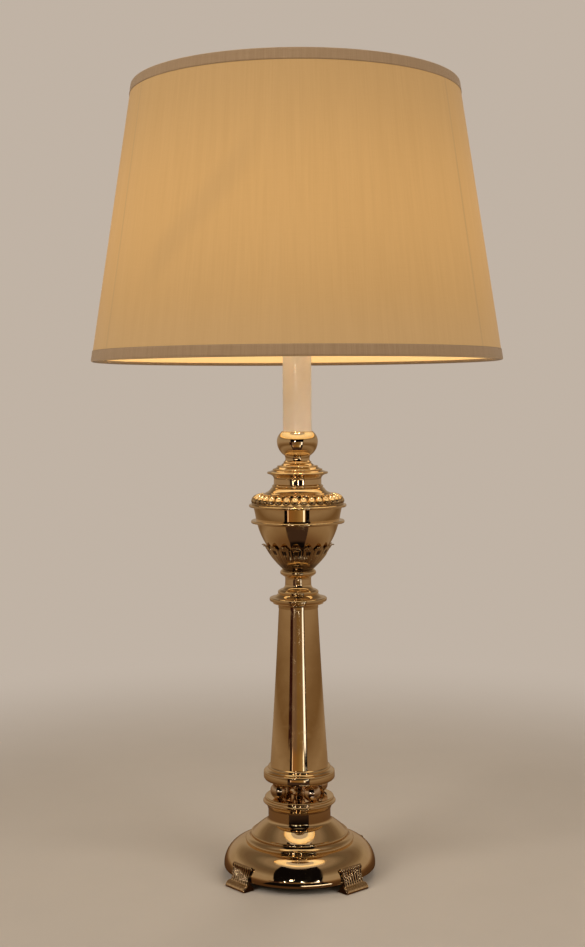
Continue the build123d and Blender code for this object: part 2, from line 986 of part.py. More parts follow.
def socket_core():
    """Moulded block that carries the screw shell and the switch."""
    core = drum(core_r, core_z, screw_shell_z)
    reach = core_r - switch_shaft_bite
    return core - switch_bar(switch_shaft_r + switch_shaft_fit, reach - moving_gap, core_r)


def socket_screw_shell():
    """Thin metal shell that the bulb screws into."""
    inner = screw_shell_r - screw_shell_wall
    return tube(screw_shell_r, inner, screw_shell_z, screw_shell_z + screw_shell_height)


def socket_contact():
    """Centre contact under the bulb's tip."""
    return drum(contact_r, screw_shell_z, screw_shell_z + contact_height)


def switch_shaft():
    """Shaft from the switch to its knob."""
    far = shell_r + switch_knob_gap
    return switch_bar(switch_shaft_r, core_r - switch_shaft_bite, far)


def switch_knob():
    """Fluted knob on the shaft."""
    near = shell_r + switch_knob_gap
    knob = switch_bar(switch_knob_r, near, near + switch_knob_length)
    knob = fillet(knob.edges().sort_by(Axis.Y)[0], 1.0)
    middle = near + switch_knob_length / 2
    for index in range(switch_flutes):
        angle = radians(360 * index / switch_flutes)
        x, z = switch_knob_r * cos(angle), switch_z + switch_knob_r * sin(angle)
        flute = Rot(90, 0, 0) * Cylinder(switch_flute_r, switch_knob_length)
        knob -= Pos(x, -middle, z) * flute
    return knob


# Bulb


def bulb_glass():
    """Blown glass, open at the neck where the metal base closes it."""
    base_top = bulb_z + bulb_tip + bulb_base_height
    low = base_top - bulb_neck_in

    def skin(inset):
        neck_z = base_top + bulb_neck_rise
        belly_z = base_top + bulb_belly_rise
        top = belly_z + bulb_r - inset
        return turned([
            (0, low),
            (bulb_neck_r - inset, low),
            (bulb_neck_r + 1.4 - inset, neck_z, -0.3),
            (bulb_r - inset, belly_z, bulb_swell),
            (0, top, round_share * (bulb_r - inset)),
        ])

    return skin(0) - skin(bulb_wall)


def bulb_base():
    """Metal screw base of the bulb."""
    low = bulb_z + bulb_tip
    high = low + bulb_base_height
    cup = turned([
        (0, low),
        (bulb_tip_r + 2, low),
        (bulb_base_r, low + 5.0, 0.6),
        (bulb_base_r, high),
        (0, high),
    ])
    cup -= drum(bulb_base_r - bulb_base_wall, low + 6.0, high)
    return cup


def bulb_contact():
    """Solder tip of the bulb."""
    return turned([
        (0, bulb_z),
        (bulb_tip_r - 2, bulb_z),
        (bulb_tip_r, bulb_z + bulb_tip, 0.4),
        (0, bulb_z + bulb_tip),
    ])


# Shade


def shade_r(z):
    """Outer radius of the shade at a height, over its trim."""
    share = (z - shade_bottom_z) / shade_height
    return shade_bottom_r + (shade_top_r - shade_bottom_r) * share


def wire_inset():
    """Distance from the shade's outer surface in to the centre of its wires."""
    return trim_cloth + cover_cloth + trim_fit + wire_r


def wire_lift():
    """Distance from the shade's edge to the centre of its ring wires."""
    return trim_cloth + trim_fit + wire_r


def shade_cover():
    """Cloth laminated on a clear liner, rolled to a cone."""
    low, high = shade_bottom_z + trim_cloth, shade_top_z - trim_cloth
    inner = trim_cloth + cover_cloth
    return turned([
        (shade_r(low) - inner, low),
        (shade_r(low) - trim_cloth, low),
        (shade_r(high) - trim_cloth, high),
        (shade_r(high) - inner, high),
    ])


def strut_line(radius_x, width_y, low, high):
    """Bar along the first strut's line, of round or rectangular section."""
    lean = -degrees(atan((shade_bottom_r - shade_top_r) / shade_height))
    middle = (low + high) / 2
    place = Pos(shade_r(middle) - wire_inset(), 0, middle) * Rot(0, lean, 0)
    length = (high - low) / cos(radians(lean))
    if width_y:
        inward = radius_x - wire_r - trim_fit
        return place * Pos(-inward / 2, 0, 0) * Box(radius_x + wire_r + trim_fit, width_y, length)
    return place * Cylinder(radius_x, length)


def strut_turns():
    """Turns of the struts and of the spider's arms about the axis."""
    return around(strut_count, strut_turn)


def trim(edge_z, inwards):
    """Tape folded round one edge of the cover and its wire; inwards is +1 or -1."""

    def at(depth, step):
        z = edge_z + inwards * step
        return shade_r(z) - depth, z

    inside = trim_cloth + cover_cloth + trim_fit
    past_wire = inside + 2 * wire_r + trim_fit
    tape = turned([
        at(0, 0),
        at(0, trim_width),
        at(trim_cloth, trim_width),
        at(trim_cloth, trim_cloth),
        at(past_wire, trim_cloth),
        at(past_wire, trim_cloth + 2 * wire_r),
        at(inside, trim_turn - 4.0),
        at(inside, trim_turn),
        at(inside + trim_cloth, trim_turn),
        at(inside + trim_cloth, trim_turn - 4.0),
        at(past_wire + trim_cloth, trim_cloth + 2 * wire_r),
        at(past_wire + trim_cloth, 0),
    ])
    reach = trim_cloth + trim_fit
    slot = strut_line(4.0, strut_slot, shade_bottom_z + reach, shade_top_z - reach)
    for turn in strut_turns():
        tape -= turn * slot
    return tape


def ring_wire(edge_z, inwards):
    """Ring of wire inside one edge of the shade."""
    z = edge_z + inwards * wire_lift()
    return Pos(0, 0, z) * Torus(shade_r(z) - wire_inset(), wire_r)


def shade_strut(turn):
    """Straight wire between the two rings."""
    reach = wire_lift() + wire_r + moving_gap
    return turn * strut_line(strut_r, 0, shade_bottom_z + reach, shade_top_z - reach)


def shade_spider():
    """Washer with three bent arms that reach the top ring."""
    ring_z_top = shade_top_z - wire_lift()
    ring_r_top = shade_r(ring_z_top) - wire_inset() - wire_r - 2 * trim_fit
    arm_z = spider_z + arm_r
    rise_end = ring_r_top - arm_seat
    path = Plane.XZ * FilletPolyline(
        (hub_washer_r - 1, arm_z),
        (rise_end - arm_rise_run, arm_z),
        (rise_end, ring_z_top),
        (ring_r_top, ring_z_top),
        radius=arm_bend_r,
    )
    start = Plane((hub_washer_r - 1, 0, arm_z), x_dir=(0, 1, 0), z_dir=(1, 0, 0))
    arm = sweep(start * Circle(arm_r), path)
    hub = tube(hub_washer_r, stud_r + stud_fit, spider_z, spider_z + hub_washer)
    hub += tube(hub_washer_r, finial_foot_r + 0.6, spider_z, spider_z + 2 * arm_r)
    for turn in strut_turns():
        hub += turn * arm
    return hub


def finial():
    """Turned finial: foot, neck, ball and pointed tip over a threaded socket."""
    z = finial_z
    top = z + finial_height
    ball_z = top - finial_tip - finial_ball_r
    stem = turned([
        (0, z),
        (finial_foot_r, z),
        (finial_foot_r, z + 1.8),
        (finial_neck_r, z + 6.0, -0.8),
        (finial_neck_r, ball_z),
        (finial_tip_r, ball_z),
        (finial_tip_r, top - finial_tip),
        (finial_point_r, top - finial_point_r),
        (0, top, round_share * finial_point_r),
    ])
    ball = Pos(0, 0, ball_z) * Sphere(finial_ball_r)
    return stem + ball - drum(stud_r + stud_fit, z, z + finial_socket)


def parts():
    """Every node of the lamp by name."""
    places = ["rear_right", "rear_left", "front_left", "front_right"]
    one_foot = foot()
    pieces = {
        f"foot_{name}": turn * one_foot
        for name, turn in zip(places, around(foot_count, foot_first_turn))
    }
    pieces |= {
        "base_dome": base_dome(),
        "foot_screws": foot_screws(),
        "base_weight": base_weight(),
        "base_felt": base_felt(),
        "cord_inlet": cord_inlet(),
        "base_neck": base_neck(),
        "gallery_dish": gallery_dish(),
        "gallery_spindle": gallery_spindle(),
        "column_base_ring": column_base_ring(),
        "column": column(),
        "column_capital": column_capital(),
        "neck_spool": neck_spool(),
        "leaf_calyx": leaf_calyx(),
        "urn_bowl": urn_bowl(),
        "bead_ring": bead_ring(),
        "urn_cover": urn_cover(),
        "candle_cup": candle_cup(),
        "candle_tube": tube(candle_r, candle_r - candle_wall, cup_floor_z, candle_top_z),
        "candle_cap": candle_cap(),
        "centre_rod": centre_rod(),
        "base_washer": tube(washer_r, rod_hole_r, weight_z - washer_wall, weight_z),
        "base_nut": hex_nut(nut_across_flats, weight_z - washer_wall - nut_height, nut_height),
        "cup_nut": hex_nut(cup_nut_across_flats, cup_floor_z, nut_height),
        "harp_saddle": harp_saddle(),
        "harp": harp(),
        "harp_sleeve_left": harp_sleeve(-1),
        "harp_sleeve_right": harp_sleeve(1),
        "socket_cap": socket_cap(),
        "socket_shell": socket_shell(),
        "socket_liner": socket_liner(),
        "socket_core": socket_core(),
        "socket_screw_shell": socket_screw_shell(),
        "socket_contact": socket_contact(),
        "switch_shaft": switch_shaft(),
        "switch_knob": switch_knob(),
        "bulb_glass": bulb_glass(),
        "bulb_base": bulb_base(),
        "bulb_contact": bulb_contact(),
        "shade_cover": shade_cover(),
        "trim_bottom": trim(shade_bottom_z, 1),
        "trim_top": trim(shade_top_z, -1),
        "shade_ring_bottom": ring_wire(shade_bottom_z, 1),
        "shade_ring_top": ring_wire(shade_top_z, -1),
        "shade_spider": shade_spider(),
        "finial": finial(),
    }
    for index, turn in enumerate(around(ball_count, foot_first_turn + gallery_turn)):
        pieces[f"gallery_ball_{index + 1}"] = gallery_ball(turn)
    for place, turn in zip(["rear", "front_left", "front_right"], strut_turns()):
        pieces[f"shade_strut_{place}"] = shade_strut(turn)
    return pieces


os.makedirs("parts", exist_ok=True)
for name, piece in parts().items():
    export_step(piece, f"parts/{name}.step")
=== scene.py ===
from math import atan2, cos, hypot, pi, radians, sin

import bmesh
import bpy
from mathutils import Matrix, Vector


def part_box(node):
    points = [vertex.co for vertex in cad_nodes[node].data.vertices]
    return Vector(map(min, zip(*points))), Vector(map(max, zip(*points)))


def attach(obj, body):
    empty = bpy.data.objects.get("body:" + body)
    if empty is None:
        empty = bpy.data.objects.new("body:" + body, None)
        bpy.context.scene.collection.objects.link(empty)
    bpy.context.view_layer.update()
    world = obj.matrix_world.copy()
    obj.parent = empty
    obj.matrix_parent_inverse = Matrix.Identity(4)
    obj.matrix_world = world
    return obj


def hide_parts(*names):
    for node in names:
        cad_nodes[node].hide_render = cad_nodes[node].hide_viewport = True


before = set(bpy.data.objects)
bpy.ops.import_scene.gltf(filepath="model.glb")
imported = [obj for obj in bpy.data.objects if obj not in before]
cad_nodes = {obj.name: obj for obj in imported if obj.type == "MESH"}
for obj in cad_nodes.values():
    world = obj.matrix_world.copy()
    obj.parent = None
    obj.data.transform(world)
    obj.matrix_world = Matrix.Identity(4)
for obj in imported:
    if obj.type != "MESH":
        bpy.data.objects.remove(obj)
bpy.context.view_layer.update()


# The camera stands where the photograph was taken: about 1.6 m away, a little to the
# right of the lamp's front and just below the shade.
mm = 0.001
camera_distance = 1560.5 * mm
camera_height = 538.1 * mm
camera_side = radians(3.57)
camera_aim_left = 0.0036
camera_pitch = -0.0565
camera_roll = -0.006
lens_mm = 53.31
film_mm = 36

camera_data = bpy.data.cameras.new("camera")
camera_data.lens = lens_mm
camera_data.sensor_width = film_mm
camera_data.clip_start = 0.01
camera = bpy.data.objects.new("camera", camera_data)
bpy.context.scene.collection.objects.link(camera)
camera.matrix_world = (
    Matrix.Translation(
        (camera_distance * sin(camera_side), -camera_distance * cos(camera_side), camera_height)
    )
    @ Matrix.Rotation(camera_side + camera_aim_left, 4, "Z")
    @ Matrix.Rotation(pi / 2 + camera_pitch, 4, "X")
    @ Matrix.Rotation(camera_roll, 4, "Z")
)
bpy.context.scene.camera = camera
bpy.context.scene.view_settings.view_transform = "Standard"


# The floor is a plain pale table top, painted matt. Far from the lamp it takes the
# backdrop's colour, so that no edge shows behind it, and close by it keeps the shadow.
backdrop_colour = (0.53, 0.45, 0.375, 1)
floor_colour = (0.48, 0.42, 0.355, 1)
floor_reach = 8.0
floor_fade_from = 0.45
floor_fade_to = 1.25
floor_mottling = 0.93
world_light = 0.55


def put(tree, kind, inputs=None, **settings):
    """Adds one node with its settings; each input is a value or another node's socket."""
    made = tree.nodes.new("ShaderNode" + kind)
    for name, value in settings.items():
        setattr(made, name, value)
    for name, value in (inputs or {}).items():
        if isinstance(value, bpy.types.NodeSocket):
            tree.links.new(value, made.inputs[name])
        else:
            made.inputs[name].default_value = value
    return made


def maths(tree, operation, first, second=0.0):
    """One sum on two numbers or sockets."""
    return put(tree, "Math", {0: first, 1: second}, operation=operation).outputs[0]


def product(tree, first, *others):
    """Numbers or sockets multiplied in their order."""
    for other in others:
        first = maths(tree, "MULTIPLY", first, other)
    return first


def blended(tree, share, low, high):
    """Colour between two colours, at a share from 0 to 1."""
    mixed = put(tree, "Mix", {0: share, 6: low, 7: high}, data_type="RGBA")
    return mixed.outputs[2]


def stretched(tree, value, from_low, from_high, to_low=0.0, to_high=1.0):
    """A number moved smoothly from one range to another."""
    ranged = put(
        tree,
        "MapRange",
        {0: value, 1: from_low, 2: from_high, 3: to_low, 4: to_high},
        interpolation_type="SMOOTHSTEP",
    )
    return ranged.outputs[0]


def blank_material(name):
    """A material with nodes, and the output that its shader goes to."""
    made = bpy.data.materials.new(name)
    made.use_nodes = True
    made.node_tree.nodes.clear()
    return made, made.node_tree, made.node_tree.nodes.new("ShaderNodeOutputMaterial")


def own_coordinates(tree):
    """The piece's own coordinates, in metres, in the lamp's frame."""
    return put(tree, "TexCoord").outputs["Object"]


def link_mesh(name, bm):
    """A new object, at the origin, that holds a finished bmesh."""
    mesh = bpy.data.meshes.new(name)
    bm.to_mesh(mesh)
    bm.free()
    made = bpy.data.objects.new(name, mesh)
    bpy.context.scene.collection.objects.link(made)
    return made


floor_material, tree, out = blank_material("pale_table")
place = own_coordinates(tree)
mottle = put(tree, "TexNoise", {"Vector": place, "Scale": 9.0, "Detail": 4.0}).outputs["Fac"]
darker = tuple(floor_mottling * part for part in floor_colour[:3]) + (1,)
paint = put(
    tree,
    "BsdfPrincipled",
    {
        "Base Color": blended(tree, mottle, darker, floor_colour),
        "Roughness": 0.9,
        "Specular IOR Level": 0.0,
    },
)
backdrop = put(tree, "Emission", {"Color": backdrop_colour, "Strength": 1.0})
distance = put(tree, "VectorMath", {0: place}, operation="LENGTH").outputs["Value"]
far = stretched(tree, distance, floor_fade_from, floor_fade_to)
surface = put(tree, "MixShader", {0: far, 1: paint.outputs[0], 2: backdrop.outputs[0]})
tree.links.new(surface.outputs[0], out.inputs["Surface"])

bm = bmesh.new()
bmesh.ops.create_circle(bm, cap_ends=True, radius=floor_reach, segments=64)
floor = link_mesh("table_top", bm)
floor.data.materials.append(floor_material)

world = bpy.data.worlds.new("backdrop")
bpy.context.scene.world = world
world.use_nodes = True
tree = world.node_tree
tree.nodes.clear()
seen = put(tree, "LightPath")
direct = maths(tree, "MAXIMUM", seen.outputs["Is Camera Ray"], seen.outputs["Is Glossy Ray"])
direct = maths(tree, "MAXIMUM", direct, seen.outputs["Is Transmission Ray"])
strength = maths(tree, "ADD", product(tree, direct, 1 - world_light), world_light)
sky = put(tree, "Background", {"Color": backdrop_colour, "Strength": strength})
out = tree.nodes.new("ShaderNodeOutputWorld")
tree.links.new(sky.outputs[0], out.inputs["Surface"])


# Two soft boxes light the lamp from the front, and a dimmer one from behind draws its
# edges. The brass doesn't show them, because it mirrors the papers of the next section.
soft_white = (1, 0.96, 0.9)
lamp_middle = Vector((0, 0, 0.42))


def soft_box(name, azimuth, elevation, distance, size, watts):
    """A square light that faces the middle of the lamp; azimuth 0 is the front."""
    data = bpy.data.lights.new(name, "AREA")
    data.shape = "SQUARE"
    data.size = size
    data.energy = watts
    data.color = soft_white
    box = bpy.data.objects.new(name, data)
    bpy.context.scene.collection.objects.link(box)
    bearing, lift = radians(azimuth), radians(elevation)
    outwards = Vector((sin(bearing) * cos(lift), -cos(bearing) * cos(lift), sin(lift)))
    box.location = lamp_middle + distance * outwards
    box.rotation_euler = (lamp_middle - box.location).to_track_quat("-Z", "Y").to_euler()
    box.visible_glossy = False


soft_box("key_light", -49, 30, 2.3, 1.3, 30)
soft_box("fill_light", 57, 24, 2.4, 1.4, 27)
soft_box("back_light", 165, 40, 2.4, 1.0, 14)


# The polished brass mirrors the room that it stands in. The room is a drum and a disc of
# painted paper that only mirror rays see: soft-toned walls, a dark doorway in front that
# widens upwards, with a lintel that rises to its sides, and on the table the strips of
# light that it throws.
room_r = 3.5
room_height = 9.0
wall_tone_reach = 6.2
lintel_middle = 7.0
lintel_rise = 1.8
doorway_splay = 0.07
doorway = (radians(-37), radians(32))
far_doorway = (radians(-46), radians(34))
table_lift = 0.4 * mm

# Where one paper runs into the next: heights up the wall, distances over the table, and
# for the bright line round the base also the share of the doorway's width.
wall_foot = (0.12, 0.15)
dark_from = (0.115, 0.122)
base_line_from, base_line_to = (0.122, 0.125), (0.136, 0.133)
base_line_across = (0.54, 0.58)
hall_from = (0.23, 0.30)
hall_lit_from = (0.61, 0.66)
far_table_from = (1.15, 1.30)
base_line_colour = (2.2, 2.0, 1.8, 1)
black = (0.004, 0.003, 0.003)
dark_brown = (0.050, 0.028, 0.020)
wall_tones = [
    (0.00, (0.28, 0.19, 0.115)),
    (0.04, (0.35, 0.26, 0.18)),
    (0.20, (0.35, 0.27, 0.19)),
    (0.32, (0.21, 0.15, 0.095)),
    (0.45, (0.15, 0.10, 0.062)),
    (0.65, (0.14, 0.10, 0.063)),
    (1.00, (0.27, 0.20, 0.14)),
]
# Near the lamp the table paper darkens: a painted shadow of the lamp on its table.
table_tones = [
    (0.00, (0.020, 0.012, 0.008)),
    (0.035, (0.080, 0.038, 0.016)),
    (0.06, (0.125, 0.066, 0.032)),
    (0.10, (0.17, 0.095, 0.046)),
    (0.15, (0.24, 0.155, 0.085)),
    (0.24, (0.30, 0.21, 0.13)),
    (0.39, (0.165, 0.095, 0.042)),
    (1.00, (0.28, 0.19, 0.115)),
]
doorway_strips = [
    (0.000, (0.03, 0.008, 0.006)),
    (0.185, (0.03, 0.008, 0.006)),
    (0.210, (0.19, 0.120, 0.078)),
    (0.400, (0.17, 0.105, 0.066)),
    (0.520, (0.20, 0.115, 0.038)),
    (0.660, (0.20, 0.120, 0.050)),
    (0.820, (0.25, 0.165, 0.095)),
    (0.850, (1.5, 1.5, 1.6)),
    (0.910, (1.9, 1.9, 2.1)),
    (0.935, (0.24, 0.15, 0.09)),
    (0.955, (0.03, 0.012, 0.008)),
    (1.000, (0.06, 0.03, 0.02)),
]
hall_strips = [
    (0.000, black),
    (0.110, black),
    (0.130, (0.30, 0.13, 0.04)),
    (0.150, (1.6, 1.2, 0.9)),
    (0.175, (0.27, 0.12, 0.035)),
    (0.480, (0.24, 0.13, 0.042)),
    (0.740, (0.40, 0.25, 0.10)),
    (0.780, (2.4, 2.3, 2.1)),
    (0.820, (0.36, 0.20, 0.08)),
    (0.860, black),
    (1.000, black),
]


def ramp(tree, share, stops):
    """Colours along a line, each with the share at which it stands."""
    made = put(tree, "ValToRGB", {0: share})
    band = made.color_ramp
    for index, (at, colour) in enumerate(stops):
        stop = band.elements[index] if index < 2 else band.elements.new(at)
        stop.position = at
        stop.color = (*colour, 1)
    return made.outputs[0]


def doorway_share(tree, axes, edges):
    """How far across the doorway a point lies, and whether it lies in it at all."""
    front = maths(tree, "MULTIPLY", axes.outputs["Y"], -1.0)
    bearing = maths(tree, "ARCTAN2", axes.outputs["X"], front)
    from_left = maths(tree, "SUBTRACT", bearing, camera_side + edges[0])
    share = maths(tree, "DIVIDE", from_left, edges[1] - edges[0])
    past_left = maths(tree, "GREATER_THAN", share, 0.0)
    before_right = maths(tree, "LESS_THAN", share, 1.0)
    return share, maths(tree, "MULTIPLY", past_left, before_right)


def off_axis(tree, axes):
    """How far a point lies from the lamp's axis."""
    flat = put(tree, "CombineXYZ", {0: axes.outputs["X"], 1: axes.outputs["Y"]})
    return put(tree, "VectorMath", {0: flat.outputs[0]}, operation="LENGTH").outputs["Value"]


def lit_paper(tree, out, colour, strength=1.0):
    """Finishes a material that only glows with a colour."""
    glow = put(tree, "Emission", {"Color": colour, "Strength": strength})
    tree.links.new(glow.outputs[0], out.inputs["Surface"])


def mirrored_only(piece):
    """Stage paper that nothing but a mirror ray sees."""
    piece.visible_camera = False
    piece.visible_diffuse = False
    piece.visible_shadow = False
    piece.visible_transmission = False


wall_paper, tree, out = blank_material("mirrored_walls")
axes = put(tree, "SeparateXYZ", {0: own_coordinates(tree)})
share, _ = doorway_share(tree, axes, doorway)
far_share, far_inside = doorway_share(tree, axes, far_doorway)
height = axes.outputs["Z"]
wall = ramp(tree, maths(tree, "DIVIDE", height, wall_tone_reach), wall_tones)
foot_of_wall = blended(tree, far_inside, wall, ramp(tree, far_share, doorway_strips))
from_middle = maths(tree, "SUBTRACT", product(tree, share, 2.0), 1.0)
lintel = product(tree, from_middle, from_middle, lintel_rise)
under_lintel = maths(tree, "LESS_THAN", height, maths(tree, "ADD", lintel, lintel_middle))
half_width = maths(tree, "ADD", product(tree, height, doorway_splay), 1.0)
between_posts = maths(tree, "LESS_THAN", maths(tree, "ABSOLUTE", from_middle), half_width)
upper_wall = blended(tree, product(tree, between_posts, under_lintel), wall, (*black, 1))
over_foot = stretched(tree, height, *wall_foot)
lit_paper(tree, out, blended(tree, over_foot, foot_of_wall, upper_wall))

bm = bmesh.new()
bmesh.ops.create_circle(bm, cap_ends=False, radius=room_r, segments=96)
drum = bmesh.ops.extrude_edge_only(bm, edges=bm.edges[:])
top_ring = [item for item in drum["geom"] if isinstance(item, bmesh.types.BMVert)]
bmesh.ops.translate(bm, verts=top_ring, vec=(0, 0, room_height))
walls = link_mesh("mirrored_walls", bm)
walls.data.materials.append(wall_paper)
mirrored_only(walls)

table_paper, tree, out = blank_material("mirrored_table")
axes = put(tree, "SeparateXYZ", {0: own_coordinates(tree)})
share, inside = doorway_share(tree, axes, doorway)
far_share, far_inside = doorway_share(tree, axes, far_doorway)
distance = off_axis(tree, axes)
table = ramp(tree, maths(tree, "DIVIDE", distance, room_r), table_tones)
hall = ramp(tree, share, hall_strips)
hall = blended(tree, stretched(tree, distance, *hall_lit_from), (*dark_brown, 1), hall)
base_line = product(
    tree,
    stretched(tree, distance, *base_line_from),
    stretched(tree, distance, *base_line_to),
    stretched(tree, share, *base_line_across),
)
near = blended(tree, stretched(tree, distance, *dark_from), table, (*black, 1))
near = blended(tree, base_line, near, base_line_colour)
near = blended(tree, stretched(tree, distance, *hall_from), near, hall)
near = blended(tree, inside, table, near)
far = blended(tree, far_inside, table, ramp(tree, far_share, doorway_strips))
lit_paper(tree, out, blended(tree, stretched(tree, distance, *far_table_from), near, far))

bm = bmesh.new()
bmesh.ops.create_circle(bm, cap_ends=True, radius=room_r, segments=96)
bmesh.ops.translate(bm, verts=bm.verts[:], vec=(0, 0, table_lift))
table = link_mesh("mirrored_table", bm)
table.data.materials.append(table_paper)
mirrored_only(table)

# Small lights before the wall make the brass sparkle, and a wider one, which hangs higher,
# streaks the candle.
sparkle_reach = 0.97 * room_r
sparkle_height = 0.28
sparkle_strength = 21.0
sparkle_glow, tree, out = blank_material("sparkle")
lit_paper(tree, out, (1, 0.96, 0.92, 1), sparkle_strength)
for name, azimuth, radius in (("left", -22, 62), ("middle", 3, 70), ("right", 27, 70)):
    bearing = radians(azimuth) + camera_side
    spot = (sparkle_reach * sin(bearing), -sparkle_reach * cos(bearing), sparkle_height)
    bm = bmesh.new()
    bmesh.ops.create_icosphere(bm, subdivisions=3, radius=radius * mm)
    bmesh.ops.translate(bm, verts=bm.verts[:], vec=spot)
    sparkle = link_mesh(f"sparkle_{name}", bm)
    sparkle.data.materials.append(sparkle_glow)
    mirrored_only(sparkle)

tall_lamp_size = (0.26, 0.02, 0.18)
tall_lamp_height = 0.67
tall_lamp_bearing = radians(-13) + camera_side
bm = bmesh.new()
bmesh.ops.create_cube(bm, size=1.0)
bmesh.ops.scale(bm, verts=bm.verts[:], vec=tall_lamp_size)
bmesh.ops.translate(bm, verts=bm.verts[:], vec=(0, -sparkle_reach, tall_lamp_height))
turn = Matrix.Rotation(tall_lamp_bearing, 3, "Z")
bmesh.ops.rotate(bm, verts=bm.verts[:], cent=(0, 0, 0), matrix=turn)
tall_lamp = link_mesh("tall_lamp", bm)
tall_lamp.data.materials.append(sparkle_glow)
mirrored_only(tall_lamp)


# Polished brass: turned or spun, buffed and lacquered. Its marks are one group: soft
# clouds of tone, smudges that dull the shine, and fine rings left by the lathe.
def group(name, inputs, outputs):
    """An empty shader node group with its sockets, its inner tree, and both ends."""
    made = bpy.data.node_groups.new(name, "ShaderNodeTree")
    for label, value in inputs.items():
        kind = "NodeSocketVector" if label == "Vector" else "NodeSocketFloat"
        socket = made.interface.new_socket(label, in_out="INPUT", socket_type=kind)
        if value is not None:
            socket.default_value = value
    for label in outputs:
        made.interface.new_socket(label, in_out="OUTPUT", socket_type="NodeSocketFloat")
    return made, made.nodes.new("NodeGroupInput"), made.nodes.new("NodeGroupOutput")


def use_group(tree, made, inputs):
    """Places a node group in a material."""
    placed = tree.nodes.new("ShaderNodeGroup")
    placed.node_tree = made
    for label, value in inputs.items():
        if isinstance(value, bpy.types.NodeSocket):
            tree.links.new(value, placed.inputs[label])
        else:
            placed.inputs[label].default_value = value
    return placed


buffing, given, results = group(
    "buffing", {"Vector": None, "Cloud": 30.0, "Rings": 1400.0}, ["Tone", "Smudge", "Height"]
)
place, cloud_scale, ring_scale = given.outputs[0], given.outputs[1], given.outputs[2]
clouds = put(buffing, "TexNoise", {"Vector": place, "Scale": cloud_scale, "Detail": 3.0})
finer = product(buffing, cloud_scale, 3.1)
smears = put(
    buffing, "TexNoise", {"Vector": place, "Scale": finer, "Detail": 5.0, "Distortion": 0.6}
)
axes = put(buffing, "SeparateXYZ", {0: place})
profile = put(buffing, "CombineXYZ", {0: off_axis(buffing, axes), 2: axes.outputs["Z"]})
rings = put(
    buffing, "TexNoise", {"Vector": profile.outputs[0], "Scale": ring_scale, "Detail": 1.0}
)
buffing.links.new(stretched(buffing, clouds.outputs["Fac"], 0.3, 0.7), results.inputs["Tone"])
buffing.links.new(stretched(buffing, smears.outputs["Fac"], 0.42, 0.72), results.inputs["Smudge"])
buffing.links.new(rings.outputs["Fac"], results.inputs["Height"])


# Castings carry painted shade in their colour: their meshes hold how much of it each
# point takes, in grooves, hollows and gaps, and on sides turned away from the light.
painted_shade_colour = (0.075, 0.038, 0.018, 1)


def brass(name, light, deep, shine, dull, ring_depth, cloud=30.0, rings=1400.0, shade_painted=False):
    """Lacquered brass between two colours and two roughnesses, with painted shade if it is cast."""
    made, tree, out = blank_material(name)
    marks = use_group(
        tree, buffing, {"Vector": own_coordinates(tree), "Cloud": cloud, "Rings": rings}
    )
    bump = put(
        tree, "Bump", {"Strength": 0.25, "Distance": ring_depth, "Height": marks.outputs["Height"]}
    )
    colour = blended(tree, marks.outputs["Tone"], deep, light)
    if shade_painted:
        kept = put(tree, "Attribute", attribute_name="painted_shade").outputs["Fac"]
        colour = blended(tree, kept, colour, painted_shade_colour)
    metal = put(
        tree,
        "BsdfPrincipled",
        {
            "Base Color": colour,
            "Metallic": 1.0,
            "Roughness": stretched(tree, marks.outputs["Smudge"], 0.0, 1.0, shine, dull),
            "Normal": bump.outputs[0],
            "Coat Weight": 0.2,
            "Coat Roughness": 0.04,
        },
    )
    tree.links.new(metal.outputs[0], out.inputs["Surface"])
    return made


def dress(material, *names):
    """Gives CAD nodes, whose shape is right, their finish."""
    for name in names:
        cad_nodes[name].data.materials.clear()
        cad_nodes[name].data.materials.append(material)


turned_brass = brass(
    "turned_brass", (0.88, 0.68, 0.41, 1), (0.78, 0.58, 0.33, 1),
    shine=0.045, dull=0.12, ring_depth=0.004 * mm,
)
cast_brass = brass(
    "cast_brass", (0.93, 0.73, 0.44, 1), (0.76, 0.56, 0.31, 1),
    shine=0.07, dull=0.18, ring_depth=0.02 * mm, cloud=60.0, shade_painted=True,
)
# A duller, darker copy of the brass, for the balls and spindle deep in the gallery: painted shade.
gallery_shade_brass = brass(
    "gallery_shade_brass", (0.86, 0.68, 0.50, 1), (0.66, 0.50, 0.35, 1),
    shine=0.05, dull=0.14, ring_depth=0.004 * mm, cloud=45.0,
)


# The base: a spun dome on four cast feet, which screws from inside hold. In it an iron
# weight, its washer and nut pull on the hollow rod that runs up the whole stem.
def cast_grain(name):
    """Shader group: pits and lumps of a rough surface, as tone and height."""
    made, given, results = group(name, {"Vector": None, "Scale": 400.0}, ["Tone", "Height"])
    place, scale = given.outputs[0], given.outputs[1]
    lumps = put(made, "TexNoise", {"Vector": place, "Scale": scale, "Detail": 4.0})
    coarse = product(made, scale, 0.07)
    blotch = put(made, "TexNoise", {"Vector": place, "Scale": coarse, "Detail": 2.0})
    tone = product(made, lumps.outputs["Fac"], blotch.outputs["Fac"])
    made.links.new(stretched(made, tone, 0.12, 0.42), results.inputs["Tone"])
    made.links.new(lumps.outputs["Fac"], results.inputs["Height"])
    return made


grain = cast_grain("grain")


def grained(name, light, deep, rough, scale, depth, **more):
    """A material that grain covers: iron, plastic, board, wax and the like."""
    made, tree, out = blank_material(name)
    marks = use_group(tree, grain, {"Vector": own_coordinates(tree), "Scale": scale})
    bump = put(
        tree, "Bump", {"Strength": 0.5, "Distance": depth, "Height": marks.outputs["Height"]}
    )
    surface = {
        "Base Color": blended(tree, marks.outputs["Tone"], deep, light),
        "Roughness": stretched(tree, marks.outputs["Tone"], 0.0, 1.0, rough[1], rough[0]),
        "Normal": bump.outputs[0],
    }
    surface.update(more)
    shader = put(tree, "BsdfPrincipled", surface)
    tree.links.new(shader.outputs[0], out.inputs["Surface"])
    return made


